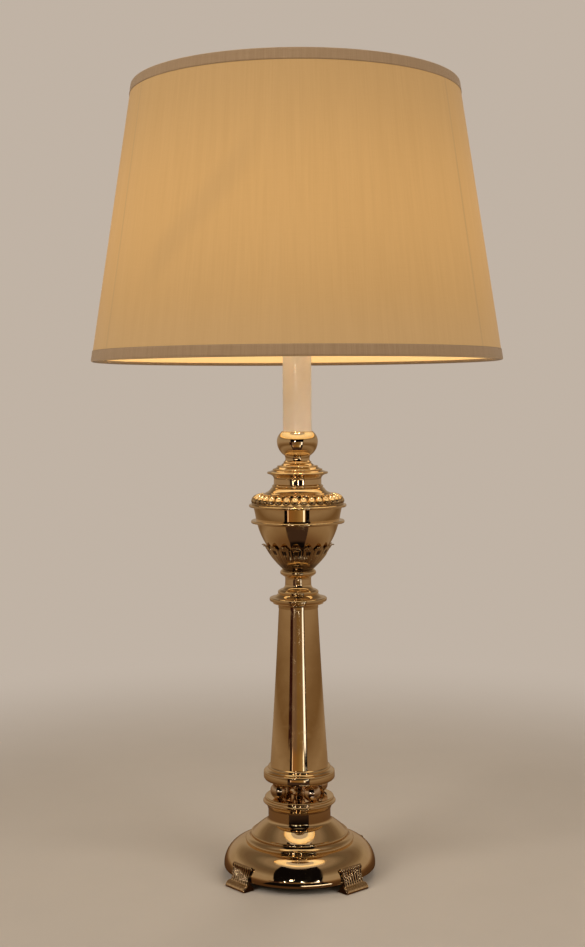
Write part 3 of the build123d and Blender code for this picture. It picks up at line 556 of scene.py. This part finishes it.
cast_iron = grained(
    "cast_iron", (0.12, 0.115, 0.11, 1), (0.05, 0.047, 0.045, 1),
    rough=(0.55, 0.8), scale=900.0, depth=0.4 * mm, Metallic=0.6,
)
zinc_steel = grained(
    "zinc_steel", (0.62, 0.62, 0.60, 1), (0.48, 0.48, 0.47, 1),
    rough=(0.25, 0.45), scale=700.0, depth=0.03 * mm, Metallic=1.0,
)
black_plastic = grained(
    "black_plastic", (0.035, 0.034, 0.033, 1), (0.02, 0.019, 0.018, 1),
    rough=(0.32, 0.5), scale=1500.0, depth=0.05 * mm,
)
dress(turned_brass, "base_dome", "base_neck", "foot_screws")
dress(cast_iron, "base_weight")
dress(zinc_steel, "base_washer", "base_nut", "cup_nut", "centre_rod")
dress(black_plastic, "cord_inlet")


# Each foot is cast brass: a flared toe with a smooth lip, a hollow face of eight reeds,
# and a roll with an eye at each end. Its back is filed to the dome, and a screw holds it.
def smooth(piece):
    """Shades a piece smoothly."""
    for face in piece.data.polygons:
        face.use_smooth = True


def along_table(value, table):
    """Reads a smooth value from pairs of (position, value)."""
    for (low, first), (high, second) in zip(table, table[1:]):
        if value <= high:
            share = max(0.0, (value - low) / (high - low))
            share = share * share * (3 - 2 * share)
            return first + (second - first) * share
    return table[-1][1]


dome_low = 8.8
dome_arc_r, dome_arc_z, dome_arc_reach = 58.87, 10.36, 26.48
dome_gap = 0.05
foot_slices = 96
foot_half = 15.0
foot_widths = [
    (0, 16.2), (6.2, 16.2), (7.6, 13.6), (12, 13.2), (17, 13.6), (20, 14.6), (22, 15.0),
    (26, 15.0),
]
foot_front = 83.4
foot_back = 82.4
toe_top = 7.4
toe_rounding = 1.8
face_rounding = 0.9
rounded_share = 0.1
reed_count = 8
reed_depth = 1.3
reed_crown = 0.8
reeded = [(toe_top, 0), (8.6, 1), (23.6, 1), (25.2, 0)]
groove_shade, most_groove_shade = 1.15, 0.9
end_shade = 0.85
roll_r, roll_z, roll_out = 2.6, 22.9, 83.5
roll_from, roll_step, roll_points = radians(-35), radians(14.5), 15
eye_r = 1.4
eye_bulge = 0.55
foot_side = [
    (80.3, 0.0), (94.4, 0.0), (95.2, 0.4), (95.5, 1.1), (95.5, 1.9), (95.2, 2.9), (94.7, 3.9),
    (93.9, 4.9), (92.9, 5.7), (91.8, 6.3), (90.6, 6.6), (90.0, 6.9), (89.7, 7.4), (89.5, 8.1),
    (89.2, 9.0), (88.8, 10.1), (88.4, 11.3), (88.0, 12.5), (87.6, 13.8), (87.2, 15.0),
    (86.8, 16.2), (86.5, 17.4), (86.2, 18.5), (86.0, 19.5), (85.9, 20.4),
]


def dome_skin(across, height):
    """How far out the dome's skin lies, beside the foot's middle line, in mm."""
    rise = min(abs(height - dome_arc_z), dome_arc_reach - 1)
    radius = dome_arc_r + (dome_arc_reach ** 2 - rise ** 2) ** 0.5
    return max(radius ** 2 - across ** 2, 0) ** 0.5


foot_outline = list(foot_side)
for step in range(roll_points):
    angle = roll_from + roll_step * step
    foot_outline.append((roll_out + roll_r * cos(angle), roll_z + roll_r * sin(angle)))
foot_outline += [
    (82.2, 22.4), (82.2, 20.0), (82.2, 17.0), (82.2, 14.0), (82.2, 11.0), (82.2, 8.75),
    (80.3, 8.7),
]

foot_brass = brass(
    "foot_brass", (0.90, 0.70, 0.44, 1), (0.66, 0.47, 0.27, 1),
    shine=0.06, dull=0.16, ring_depth=0.03 * mm, cloud=500.0, rings=900.0, shade_painted=True,
)
for name, azimuth in (
    ("front_left", 225), ("front_right", 315), ("rear_right", 45), ("rear_left", 135)
):
    bm = bmesh.new()
    verts = [bm.verts.new((out_by * mm, -foot_half * mm, up * mm)) for out_by, up in foot_outline]
    edges = [bm.edges.new((verts[index - 1], verts[index])) for index in range(len(verts))]
    bmesh.ops.spin(
        bm, geom=verts + edges, cent=(0, 0, 0), axis=(0, 0, 1), angle=0, steps=foot_slices,
        dvec=(0, 2 * foot_half * mm / foot_slices, 0), use_merge=False,
    )
    painted_shade = bm.verts.layers.float.new("painted_shade")
    for vert in bm.verts:
        out_by, across, up = vert.co / mm
        share = across / foot_half
        # The grooves between the reeds and the two flat ends of the foot get painted shade.
        if out_by > foot_front and up > toe_top:
            reed = abs(cos(pi * share * reed_count / 2)) ** reed_crown
            groove = (1 - reed) * along_table(up, reeded)
            out_by -= reed_depth * groove
            vert[painted_shade] = min(most_groove_shade, groove_shade * groove)
        if out_by > foot_front:
            near_end = max(0.0, abs(share) - (1 - rounded_share)) / rounded_share
            rounding = toe_rounding if up < toe_top else face_rounding
            out_by -= rounding * (1 - (1 - near_end * near_end) ** 0.5)
        if abs(share) > 0.999:
            vert[painted_shade] = end_shade
        across = share * along_table(up, foot_widths)
        if up > dome_low - 0.2:
            out_by = max(out_by, dome_skin(across, up) + dome_gap)
            if out_by < foot_back and up < roll_z:
                out_by = dome_skin(across, up) + dome_gap
        vert.co = Vector((out_by, across, up)) * mm
    open_ends = [edge for edge in bm.edges if edge.is_boundary]
    bmesh.ops.holes_fill(bm, edges=open_ends, sides=0)
    for end in (-1, 1):
        eye = bmesh.ops.create_uvsphere(bm, u_segments=16, v_segments=8, radius=eye_r * mm)["verts"]
        bmesh.ops.scale(bm, verts=eye, vec=(1, eye_bulge, 1))
        bmesh.ops.translate(bm, verts=eye, vec=(roll_out * mm, end * foot_half * mm, roll_z * mm))
    bmesh.ops.recalc_face_normals(bm, faces=bm.faces[:])
    turn = Matrix.Rotation(radians(azimuth), 3, "Z")
    bmesh.ops.rotate(bm, verts=bm.verts[:], cent=(0, 0, 0), matrix=turn)
    foot = link_mesh(f"reeded_foot_{name}", bm)
    smooth(foot)
    corner = foot.modifiers.new("corner", "EDGE_SPLIT")
    corner.split_angle = radians(42)
    foot.data.materials.append(foot_brass)
    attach(foot, "stand")
    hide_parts(f"foot_{name}")


# The felt is a disc of dark green baize, punched out with a slightly ragged edge and
# glued up under the dome's rim.
felt_low, felt_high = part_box("base_felt")
felt_r = felt_high[0]
felt_edge = 0.4 * mm
ragged = 0.15 * mm
ragged_waves = 61
felt_dark = (0.020, 0.045, 0.028, 1)
felt_light = (0.05, 0.10, 0.06, 1)
felt_green, tree, out = blank_material("green_felt")
place = own_coordinates(tree)
hairs = put(tree, "TexNoise", {"Vector": place, "Scale": 2600.0, "Detail": 3.0, "Distortion": 1.5})
matted = put(tree, "TexNoise", {"Vector": place, "Scale": 160.0, "Detail": 2.0})
tone = product(tree, hairs.outputs["Fac"], matted.outputs["Fac"])
fuzz = put(tree, "Bump", {"Strength": 0.8, "Distance": 0.3 * mm, "Height": hairs.outputs["Fac"]})
pile = put(
    tree,
    "BsdfPrincipled",
    {
        "Base Color": blended(tree, stretched(tree, tone, 0.1, 0.4), felt_dark, felt_light),
        "Roughness": 0.95,
        "Sheen Weight": 0.4,
        "Normal": fuzz.outputs[0],
    },
)
tree.links.new(pile.outputs[0], out.inputs["Surface"])

bm = bmesh.new()
bmesh.ops.create_circle(bm, cap_ends=True, radius=felt_r, segments=128)
bmesh.ops.inset_region(bm, faces=bm.faces[:], thickness=felt_edge, depth=0.0)
raised = bmesh.ops.extrude_face_region(bm, geom=bm.faces[:])
top = [item for item in raised["geom"] if isinstance(item, bmesh.types.BMVert)]
bmesh.ops.translate(bm, verts=bm.verts[:], vec=(0, 0, felt_low[2]))
bmesh.ops.translate(bm, verts=top, vec=(0, 0, felt_high[2] - felt_low[2]))
for vert in bm.verts:
    wave = ragged * sin(ragged_waves * atan2(vert.co.y, vert.co.x))
    if hypot(vert.co.x, vert.co.y) / felt_r > 0.99:
        vert.co.xy *= 1 - (ragged + wave) / felt_r
bmesh.ops.recalc_face_normals(bm, faces=bm.faces[:])
felt = link_mesh("felt_disc", bm)
felt.data.materials.append(felt_green)
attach(felt, "stand")
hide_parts("base_felt")


# The gallery: four turned balls round a spindle, between a spun dish and the ring that
# carries the tapered column, with its capital and the neck spool above it.
dress(turned_brass, "gallery_dish", "column_base_ring", "column", "column_capital", "neck_spool")
# The balls and the spindle take the darker brass: painted shade inside the gallery.
dress(gallery_shade_brass, "gallery_spindle", "gallery_ball_1", "gallery_ball_2", "gallery_ball_3",
      "gallery_ball_4")


# The calyx is a thin cast cup of sixteen leaves, ribbed outside and hollowed under their
# pointed tips, which curl away from the bowl that it holds.
def spun(bm, points, steps):
    """Turns a line of (radius, height) points, in mm, once round the axis."""
    verts = [bm.verts.new((r * mm, 0, z * mm)) for r, z in points]
    edges = [bm.edges.new(pair) for pair in zip(verts, verts[1:])]
    bmesh.ops.spin(
        bm, geom=verts + edges, cent=(0, 0, 0), axis=(0, 0, 1), dvec=(0, 0, 0),
        angle=2 * pi, steps=steps, use_merge=True,
    )
    bmesh.ops.remove_doubles(bm, verts=bm.verts[:], dist=0.001 * mm)


def face_out(bm):
    """Turns the faces of an open cup away from the axis."""
    bmesh.ops.recalc_face_normals(bm, faces=bm.faces[:])
    lean = 0
    for face in bm.faces:
        middle = face.calc_center_median()
        lean += face.calc_area() * (face.normal.x * middle.x + face.normal.y * middle.y)
    if lean < 0:
        bmesh.ops.reverse_faces(bm, faces=bm.faces[:])


calyx_foot = 343.6
calyx_foot_r = 18.0
calyx_root_r = 36.6
calyx_root = 24.6
calyx_bow = 1.53
cup_share = 0.55
leaf_count = 16
leaf_steps = 26
leaf_rows = 40
leaf_notch = 22.0
leaf_straight = 4.6
leaf_length = 7.2
leaf_curl = 0.75
leaf_lean = radians(60)
leaf_point_sharpness = 1.6
leaf_swell = 0.35
leaf_sunk = 0.25
leaf_wall = 0.9
full_swell_rise = 12
rib_count = 5
rib_depth = 0.12
vein_height = 0.25
tip_droop = 0.5
spoon_depth = 0.8
spoon_up = [(0, 0), (16, 0), (18.5, 1), (21.5, 1), (24, 0)]
spoon_across = [(0, 1), (0.25, 1), (0.6, 0)]
spoon_shade, tip_shade = 0.95, 0.55
gap_shade_across = [(0, 0), (0.75, 0), (1, 0.6)]
gap_shade_up = [(0, 0), (12, 0), (20, 1)]
cup_shade_up = [(0, 0.9), (4, 0.85), (9, 0.40), (14, 0.35), (40, 0.35)]


def calyx_radius(rise):
    """Radius of the cup at a height over its foot, in mm."""
    along = min(rise / calyx_root, 1.15)
    straight = calyx_foot_r + (calyx_root_r - calyx_foot_r) * along
    return straight + calyx_bow * 4 * along * max(0.0, 1 - along)


def leaf_point(path):
    """Radius and height of a point up a leaf, whose tip rolls away from the bowl."""
    straight = min(path, leaf_straight)
    rise = leaf_notch + straight * sin(leaf_lean)
    radius = calyx_radius(rise)
    curled = max(0.0, path - leaf_straight) * leaf_curl
    radius += (sin(leaf_lean) - sin(leaf_lean - curled)) / leaf_curl
    rise += (cos(leaf_lean - curled) - cos(leaf_lean)) / leaf_curl
    return radius, rise


bm = bmesh.new()
spun(
    bm,
    [(calyx_foot_r, calyx_foot + row) for row in range(leaf_rows + 1)],
    leaf_count * leaf_steps,
)
painted_shade = bm.verts.layers.float.new("painted_shade")
for vert in bm.verts:
    up = (vert.co.z / mm - calyx_foot) / leaf_rows
    bearing = atan2(vert.co.y, vert.co.x)
    across = (bearing / (2 * pi) * leaf_count + 0.5) % 1.0 * 2 - 1
    off_vein = abs(across)
    pointed = max(0.0, 1 - off_vein ** leaf_point_sharpness) ** 0.85
    path = leaf_length * max(0.0, up - cup_share) / (1 - cup_share) * pointed
    r, rise = leaf_point(path)
    if up < cup_share:
        rise = leaf_notch * up / cup_share
        r = calyx_radius(rise)
    tip = path / leaf_length
    grown = min(1.0, rise / full_swell_rise)
    r += leaf_swell * grown * (1 - off_vein ** 5) - leaf_sunk
    r += rib_depth * cos(pi * rib_count * across) * grown * (1 - tip)
    r += vein_height * max(0.0, 1 - off_vein * 6) * grown
    rise -= tip_droop * tip * off_vein
    # Painted shade darkens the hollows under the tips, the tips, the gaps between the leaves, and
    # the whole cup, most near its foot.
    spoon = along_table(rise, spoon_up) * along_table(off_vein, spoon_across)
    r -= spoon_depth * spoon
    gap = along_table(off_vein, gap_shade_across) * along_table(rise, gap_shade_up)
    cup = along_table(rise, cup_shade_up)
    vert[painted_shade] = max(spoon_shade * spoon, tip_shade * tip, gap, cup)
    vert.co = Vector((r * cos(bearing), r * sin(bearing), calyx_foot + rise)) * mm
face_out(bm)
calyx = link_mesh("leaf_cup", bm)
smooth(calyx)
wall = calyx.modifiers.new("wall", "SOLIDIFY")
wall.thickness = leaf_wall * mm
wall.offset = -1
wall.use_even_offset = True
calyx.data.materials.append(cast_brass)
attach(calyx, "stand")
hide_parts("leaf_calyx")


# The urn: a spun bowl with two thin rings and a stepped cover, both of turned brass, and
# between them a cast ring of egg-shaped beads that lie down its slope.
bead_count = 32
bead_circle_r = 46.0
bead_middle = 421.85
bead_half_length = 6.9
bead_half_width = 4.35
bead_slope = radians(36)
bead_taper = 0.14
bead_seat = [
    (38.0, 416.0), (51.2, 416.0), (51.5, 416.3), (51.4, 417.2), (46.5, 420.6), (42.0, 424.6),
    (38.0, 426.2),
]
# The ring under the beads, and the outer, lower end of each bead, get painted shade.
seat_shade = 0.45
bead_shade = [(-2, 0), (0.2, 0), (0.9, 0.6), (2, 0.6)]

bm = bmesh.new()
spun(bm, bead_seat + bead_seat[:1], 160)
bmesh.ops.recalc_face_normals(bm, faces=bm.faces[:])
painted_shade = bm.verts.layers.float.new("painted_shade")
for vert in bm.verts:
    vert[painted_shade] = seat_shade
for index in range(bead_count):
    egg = bmesh.ops.create_uvsphere(bm, u_segments=20, v_segments=12, radius=1.0)["verts"]
    for vert in egg:
        low_end = vert.co.z - 0.5 * vert.co.y
        vert[painted_shade] = along_table(low_end, bead_shade)
        width = bead_half_width * (1 + bead_taper * vert.co.z)
        egg_shape = (bead_half_length * vert.co.z, width * vert.co.x, bead_half_width * vert.co.y)
        vert.co = Vector(egg_shape) * mm
    bmesh.ops.rotate(bm, verts=egg, cent=(0, 0, 0), matrix=Matrix.Rotation(bead_slope, 3, "Y"))
    bmesh.ops.translate(bm, verts=egg, vec=(bead_circle_r * mm, 0, bead_middle * mm))
    turn = Matrix.Rotation(2 * pi * index / bead_count, 3, "Z")
    bmesh.ops.rotate(bm, verts=egg, cent=(0, 0, 0), matrix=turn)
beads = link_mesh("bead_band", bm)
smooth(beads)
beads.data.materials.append(cast_brass)
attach(beads, "stand")
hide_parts("bead_ring")
dress(turned_brass, "urn_bowl", "urn_cover", "candle_cup")


# The candle is a paper tube dipped in ivory wax, with a turned brass cap at its top. Its
# wax is a little cloudy and lets some light in.
wax_depth = {
    "Subsurface Weight": 0.12,
    "Subsurface Radius": (0.004, 0.002, 0.001),
    "Coat Weight": 0.6,
    "Coat Roughness": 0.08,
}
ivory_wax = grained(
    "ivory_wax", (0.86, 0.72, 0.58, 1), (0.82, 0.68, 0.54, 1),
    rough=(0.30, 0.4), scale=60.0, depth=0.02 * mm, **wax_depth,
)
dress(ivory_wax, "candle_tube")
dress(turned_brass, "candle_cap")


# The harp is brass-plated wire bent to a long loop. Its ends stand in a pressed saddle
# under the socket, and two brass sleeves slide down over them to lock it.
dress(turned_brass, "harp_saddle", "harp", "harp_sleeve_left", "harp_sleeve_right")


# The socket: brass cap and shell over a pressed board liner, a moulded core, a threaded
# aluminium shell and a brass contact. A black knob turns the switch.
liner_board = grained(
    "liner_board", (0.30, 0.22, 0.14, 1), (0.22, 0.155, 0.09, 1),
    rough=(0.7, 0.85), scale=500.0, depth=0.1 * mm,
)
socket_block = grained(
    "socket_block", (0.60, 0.57, 0.50, 1), (0.52, 0.49, 0.43, 1),
    rough=(0.4, 0.55), scale=300.0, depth=0.04 * mm,
)
aluminium = grained(
    "aluminium", (0.80, 0.80, 0.79, 1), (0.68, 0.68, 0.68, 1),
    rough=(0.22, 0.36), scale=500.0, depth=0.02 * mm, Metallic=1.0,
)
solder = grained(
    "solder", (0.62, 0.61, 0.60, 1), (0.45, 0.45, 0.45, 1),
    rough=(0.35, 0.5), scale=900.0, depth=0.05 * mm, Metallic=0.9,
)
dress(turned_brass, "socket_cap", "socket_shell", "socket_contact")
dress(liner_board, "socket_liner")
dress(socket_block, "socket_core")
dress(aluminium, "socket_screw_shell", "bulb_base")
dress(solder, "bulb_contact")
dress(black_plastic, "switch_knob")
dress(zinc_steel, "switch_shaft")


# The bulb is frosted glass and lit. Its own glow shows from below and from above, and a
# warm lamp of its size lights the lining, the candle and the table.
bulb_low, bulb_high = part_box("bulb_glass")
bulb_middle = 0.45 * bulb_low[2] + 0.55 * bulb_high[2]
bulb_watts = 5.0
bulb_light_colour = (1.0, 0.74, 0.42)
glow_strength = 5.0
glow_low, glow_high = (0.9, 0.55, 0.24, 1), (1.0, 0.82, 0.55, 1)
hottest_below_top = 0.02
frosted_glass, tree, out = blank_material("frosted_glass")
place = own_coordinates(tree)
frost = put(tree, "TexNoise", {"Vector": place, "Scale": 900.0, "Detail": 3.0})
height = put(tree, "SeparateXYZ", {0: place}).outputs["Z"]
hot = stretched(tree, height, bulb_low[2], bulb_high[2] - hottest_below_top)
bulb_shader = put(
    tree,
    "BsdfPrincipled",
    {
        "Base Color": (0.86, 0.84, 0.80, 1),
        "Roughness": stretched(tree, frost.outputs["Fac"], 0.3, 0.7, 0.3, 0.5),
        "Emission Color": blended(tree, hot, glow_low, glow_high),
        "Emission Strength": glow_strength,
    },
)
tree.links.new(bulb_shader.outputs[0], out.inputs["Surface"])
dress(frosted_glass, "bulb_glass")

bulb_data = bpy.data.lights.new("bulb_light", "POINT")
bulb_data.energy = bulb_watts
bulb_data.color = bulb_light_colour
bulb_data.shadow_soft_size = 0.5 * (bulb_high[0] - bulb_low[0]) + 2 * mm
bulb_light = bpy.data.objects.new("bulb_light", bulb_data)
bpy.context.scene.collection.objects.link(bulb_light)
bulb_light.location = (0, 0, bulb_middle)


# The shade: slubbed silk laminated on a clear liner and rolled to a cone with a lap at
# the back. Light from the bulb comes through it, strongest half way up, and the struts
# and the harp leave soft shadows on it.
shade_bottom_z = 574.1
shade_top_z = 874.9
shade_bottom_r = 226.6
shade_top_r = 179.5
tape_cloth = 0.6
cover_cloth = 1.0
cloth_low = shade_bottom_z + tape_cloth
cloth_high = shade_top_z - tape_cloth
cloth_rows = 24
cloth_steps = 288
lap_half = radians(1.3)
lap_rise = 0.35
lap_clear = 13

# Shadows on the cloth, in metres round it and up it, as their middles, dark halves and
# soft sides. The pattern is drawn on a drum of one radius.
unroll_r = 0.2
strut_bearings = [-58.0, 62.0, 182.0]
strut_dark, strut_soft = 0.0006, 0.0022
harp_slope, harp_rise = 1.05, 0.235
harp_dark, harp_soft = 0.004, 0.030
harp_middle, harp_reach, harp_fade = -0.085, 0.030, 0.045
lap_soft, lap_shadow = 0.001, 0.25
lit_from, lit_to = (0.0, 0.15), (0.16, 0.31)
rim_glow_up = (0.01, 0.07)


def shade_radius(z):
    """Outside radius of the finished shade at a height, in mm."""
    along = (z - shade_bottom_z) / (shade_top_z - shade_bottom_z)
    return shade_bottom_r + (shade_top_r - shade_bottom_r) * along


def unroll(bm, height_low, name="cloth"):
    """UV map in metres: round the shade and up it, with its seam at the back."""
    layer = bm.loops.layers.uv.new(name)
    for face in bm.faces:
        turns = [atan2(loop.vert.co.x, -loop.vert.co.y) for loop in face.loops]
        wraps = max(turns) - min(turns) > pi
        for loop, turn in zip(face.loops, turns):
            whole = turn + 2 * pi if wraps and turn < 0 else turn
            loop[layer].uv = (unroll_r * whole, loop.vert.co.z - height_low * mm)


def yarn(tree, cloth_place, drawn_out, detail):
    """Noise drawn out along one way of the cloth."""
    drawn = put(tree, "VectorMath", {0: cloth_place, 1: drawn_out}, operation="MULTIPLY")
    noise = put(tree, "TexNoise", {"Vector": drawn.outputs[0], "Scale": 1.0, "Detail": detail})
    return noise.outputs["Fac"]


slub, given, results = group("slub", {"Vector": None, "Scale": 1.0}, ["Tone", "Height"])
place, scale = given.outputs[0], given.outputs[1]
sized = put(slub, "VectorMath", {0: place, "Scale": scale}, operation="SCALE").outputs[0]
warp = yarn(slub, sized, (620, 16, 1), 3.0)
weft = yarn(slub, sized, (40, 1400, 1), 2.0)
slubs = yarn(slub, sized, (150, 7, 1), 2.0)
yarns = maths(slub, "ADD", warp, product(slub, weft, 0.5))
tone = maths(slub, "ADD", product(slub, yarns, 0.5), product(slub, slubs, 0.5))
slub.links.new(stretched(slub, tone, 0.42, 0.84), results.inputs["Tone"])
slub.links.new(yarns, results.inputs["Height"])


def band(tree, value, middle, core, soft):
    """One where a value lies near a middle, with soft sides."""
    away = maths(tree, "ABSOLUTE", maths(tree, "SUBTRACT", value, middle))
    return stretched(tree, away, core + soft, core, 0.0, 1.0)


def dimmed(tree, level, share, depth):
    """Takes a depth off a level, by a share that is one in the middle of a shadow."""
    return product(tree, level, maths(tree, "SUBTRACT", 1.0, product(tree, share, depth)))


def lit_cloth(name, light, deep, glow, glow_deep, rim_glow, strength, shadows, edge_light):
    """Cloth with the bulb behind it; shadows is how dark its struts' shadows are."""
    made, tree, out = blank_material(name)
    uv = put(tree, "UVMap", uv_map="cloth").outputs[0]
    marks = use_group(tree, slub, {"Vector": uv, "Scale": 1.0})
    spots = put(tree, "SeparateXYZ", {0: uv})
    round_by, up_by = spots.outputs[0], spots.outputs[1]
    low = stretched(tree, up_by, *lit_from, edge_light, 1.0)
    high = stretched(tree, up_by, *lit_to, 1.0, 0.9 * edge_light)
    level = product(tree, low, high)
    for bearing in strut_bearings:
        middle = unroll_r * radians((bearing + 180) % 360 - 180)
        strut = band(tree, round_by, middle, strut_dark, strut_soft)
        level = dimmed(tree, level, strut, shadows)
    harp_line = maths(tree, "ADD", product(tree, round_by, harp_slope), harp_rise)
    off_harp = maths(tree, "SUBTRACT", up_by, harp_line)
    harp = product(
        tree,
        band(tree, off_harp, 0.0, harp_dark, harp_soft),
        band(tree, round_by, harp_middle, harp_reach, harp_fade),
    )
    level = dimmed(tree, level, harp, 0.5 * shadows)
    away = maths(tree, "ABSOLUTE", round_by)
    lap = band(tree, away, unroll_r * pi, unroll_r * lap_half, lap_soft)
    level = dimmed(tree, level, lap, lap_shadow)
    lit = blended(tree, marks.outputs["Tone"], glow_deep, glow)
    lit = blended(tree, stretched(tree, up_by, *rim_glow_up), rim_glow, lit)
    lit = put(tree, "VectorMath", {0: lit, "Scale": level}, operation="SCALE").outputs[0]
    bump = put(
        tree, "Bump", {"Strength": 0.35, "Distance": 0.1 * mm, "Height": marks.outputs["Height"]}
    )
    cloth = put(
        tree,
        "BsdfPrincipled",
        {
            "Base Color": blended(tree, marks.outputs["Tone"], deep, light),
            "Roughness": 0.78,
            "Sheen Weight": 0.15,
            "Sheen Roughness": 0.5,
            "Emission Color": lit,
            "Emission Strength": strength,
            "Normal": bump.outputs[0],
        },
    )
    tree.links.new(cloth.outputs[0], out.inputs["Surface"])
    return made


silk = lit_cloth(
    "slubbed_silk",
    light=(0.335, 0.222, 0.105, 1), deep=(0.310, 0.205, 0.094, 1),
    glow=(1.0, 0.48, 0.10, 1), glow_deep=(0.97, 0.46, 0.09, 1), rim_glow=(1.0, 0.52, 0.16, 1),
    strength=0.31, shadows=0.26, edge_light=0.62,
)
lining = lit_cloth(
    "clear_lining",
    light=(0.56, 0.45, 0.31, 1), deep=(0.52, 0.42, 0.28, 1),
    glow=(0.72, 0.66, 0.47, 1), glow_deep=(0.70, 0.63, 0.45, 1), rim_glow=(1.0, 0.60, 0.20, 1),
    strength=0.90, shadows=0.10, edge_light=0.75,
)

outside = []
inside = []
for row in range(cloth_rows + 1):
    z = cloth_low + (cloth_high - cloth_low) * row / cloth_rows
    outside.append((shade_radius(z) - tape_cloth, z))
    inside.append((shade_radius(z) - tape_cloth - cover_cloth, z))
loop = outside + inside[::-1]
bm = bmesh.new()
spun(bm, loop + loop[:1], cloth_steps)
bmesh.ops.recalc_face_normals(bm, faces=bm.faces[:])
for vert in bm.verts:
    away = pi - abs(atan2(vert.co.x, -vert.co.y))
    tall = vert.co.z / mm
    r = hypot(vert.co.x, vert.co.y)
    in_lap = away < lap_half and cloth_low + lap_clear < tall < cloth_high - lap_clear
    if in_lap and r / mm > shade_radius(tall) - tape_cloth - cover_cloth / 2:
        vert.co.xy *= (r + lap_rise * mm) / r
unroll(bm, shade_bottom_z)
for face in bm.faces:
    middle = face.calc_center_median()
    faces_axis = face.normal.x * middle.x + face.normal.y * middle.y < 0
    face.material_index = 1 if faces_axis else 0
shade = link_mesh("shade_silk", bm)
smooth(shade)
shade.data.materials.append(silk)
shade.data.materials.append(lining)
corner = shade.modifiers.new("corner", "EDGE_SPLIT")
corner.split_angle = radians(50)
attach(shade, "shade")
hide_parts("shade_cover")


# The trims are ribbed woven tape, folded over the ring wires at the shade's two edges and
# glued to the silk outside and to the liner inside.
tape_width = 12.0
tape_turn_in = 3.6
tape_depth = 5.1
fold_rise = 2.1
fold_steps = 12
ribs_per_metre = 520.0
tape_dark, tape_light = (0.275, 0.175, 0.090, 1), (0.345, 0.225, 0.122, 1)
tape_weave, tree, out = blank_material("tape_weave")
uv = put(tree, "UVMap", uv_map="cloth").outputs[0]
marks = use_group(tree, slub, {"Vector": uv, "Scale": 1.6})
ribs = put(tree, "VectorMath", {0: uv, 1: (1, 0, 0)}, operation="MULTIPLY").outputs[0]
rib = put(
    tree, "TexWave", {"Vector": ribs, "Scale": ribs_per_metre, "Distortion": 0.4},
    bands_direction="X",
).outputs["Fac"]
height = maths(tree, "ADD", marks.outputs["Height"], rib)
bump = put(tree, "Bump", {"Strength": 0.4, "Distance": 0.15 * mm, "Height": height})
tone = product(tree, marks.outputs["Tone"], stretched(tree, rib, 0.0, 1.0, 0.85, 1.0))
tape = put(
    tree,
    "BsdfPrincipled",
    {
        "Base Color": blended(tree, tone, tape_dark, tape_light),
        "Roughness": 0.8,
        "Sheen Weight": 0.2,
        "Normal": bump.outputs[0],
    },
)
tree.links.new(tape.outputs[0], out.inputs["Surface"])


def folded_tape(name, node, edge_z, inwards):
    """Tape round one edge of the shade; inwards is +1 from the bottom, -1 from the top."""
    half = tape_cloth / 2
    line = [(half, tape_width - step * (tape_width - fold_rise) / 6) for step in range(6)]
    reach, middle = (tape_depth - half) / 2, (tape_depth + half) / 2
    for step in range(fold_steps + 1):
        angle = pi * step / fold_steps
        line.append((middle - reach * cos(angle), fold_rise - (fold_rise - half) * sin(angle)))
    line.append((tape_depth, tape_turn_in))
    bm = bmesh.new()
    points = []
    for depth, rise in line:
        z = edge_z + inwards * rise
        points.append((shade_radius(z) - depth, z))
    spun(bm, points, cloth_steps)
    bmesh.ops.recalc_face_normals(bm, faces=bm.faces[:])
    outer = max(bm.faces, key=lambda face: hypot(*face.calc_center_median().xy))
    middle = outer.calc_center_median()
    if outer.normal.x * middle.x + outer.normal.y * middle.y < 0:
        bmesh.ops.reverse_faces(bm, faces=bm.faces[:])
    unroll(bm, edge_z)
    made = link_mesh(name, bm)
    smooth(made)
    cloth = made.modifiers.new("cloth", "SOLIDIFY")
    cloth.thickness = tape_cloth * mm
    cloth.offset = 0
    made.data.materials.append(tape_weave)
    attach(made, "shade")
    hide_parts(node)
    return made


bottom_tape = folded_tape("bottom_tape", "trim_bottom", shade_bottom_z, 1)
top_tape = folded_tape("top_tape", "trim_top", shade_top_z, -1)


# Inside the shade: two ring wires and three struts of white-lacquered wire, and a brass
# spider whose washer sits on the harp's stud, under a turned brass finial.
white_wire = grained(
    "lacquered_wire", (0.74, 0.70, 0.62, 1), (0.66, 0.62, 0.54, 1),
    rough=(0.35, 0.5), scale=600.0, depth=0.03 * mm,
)
dress(white_wire, "shade_ring_bottom", "shade_ring_top", "shade_strut_rear",
      "shade_strut_front_left", "shade_strut_front_right")
dress(turned_brass, "shade_spider", "finial")
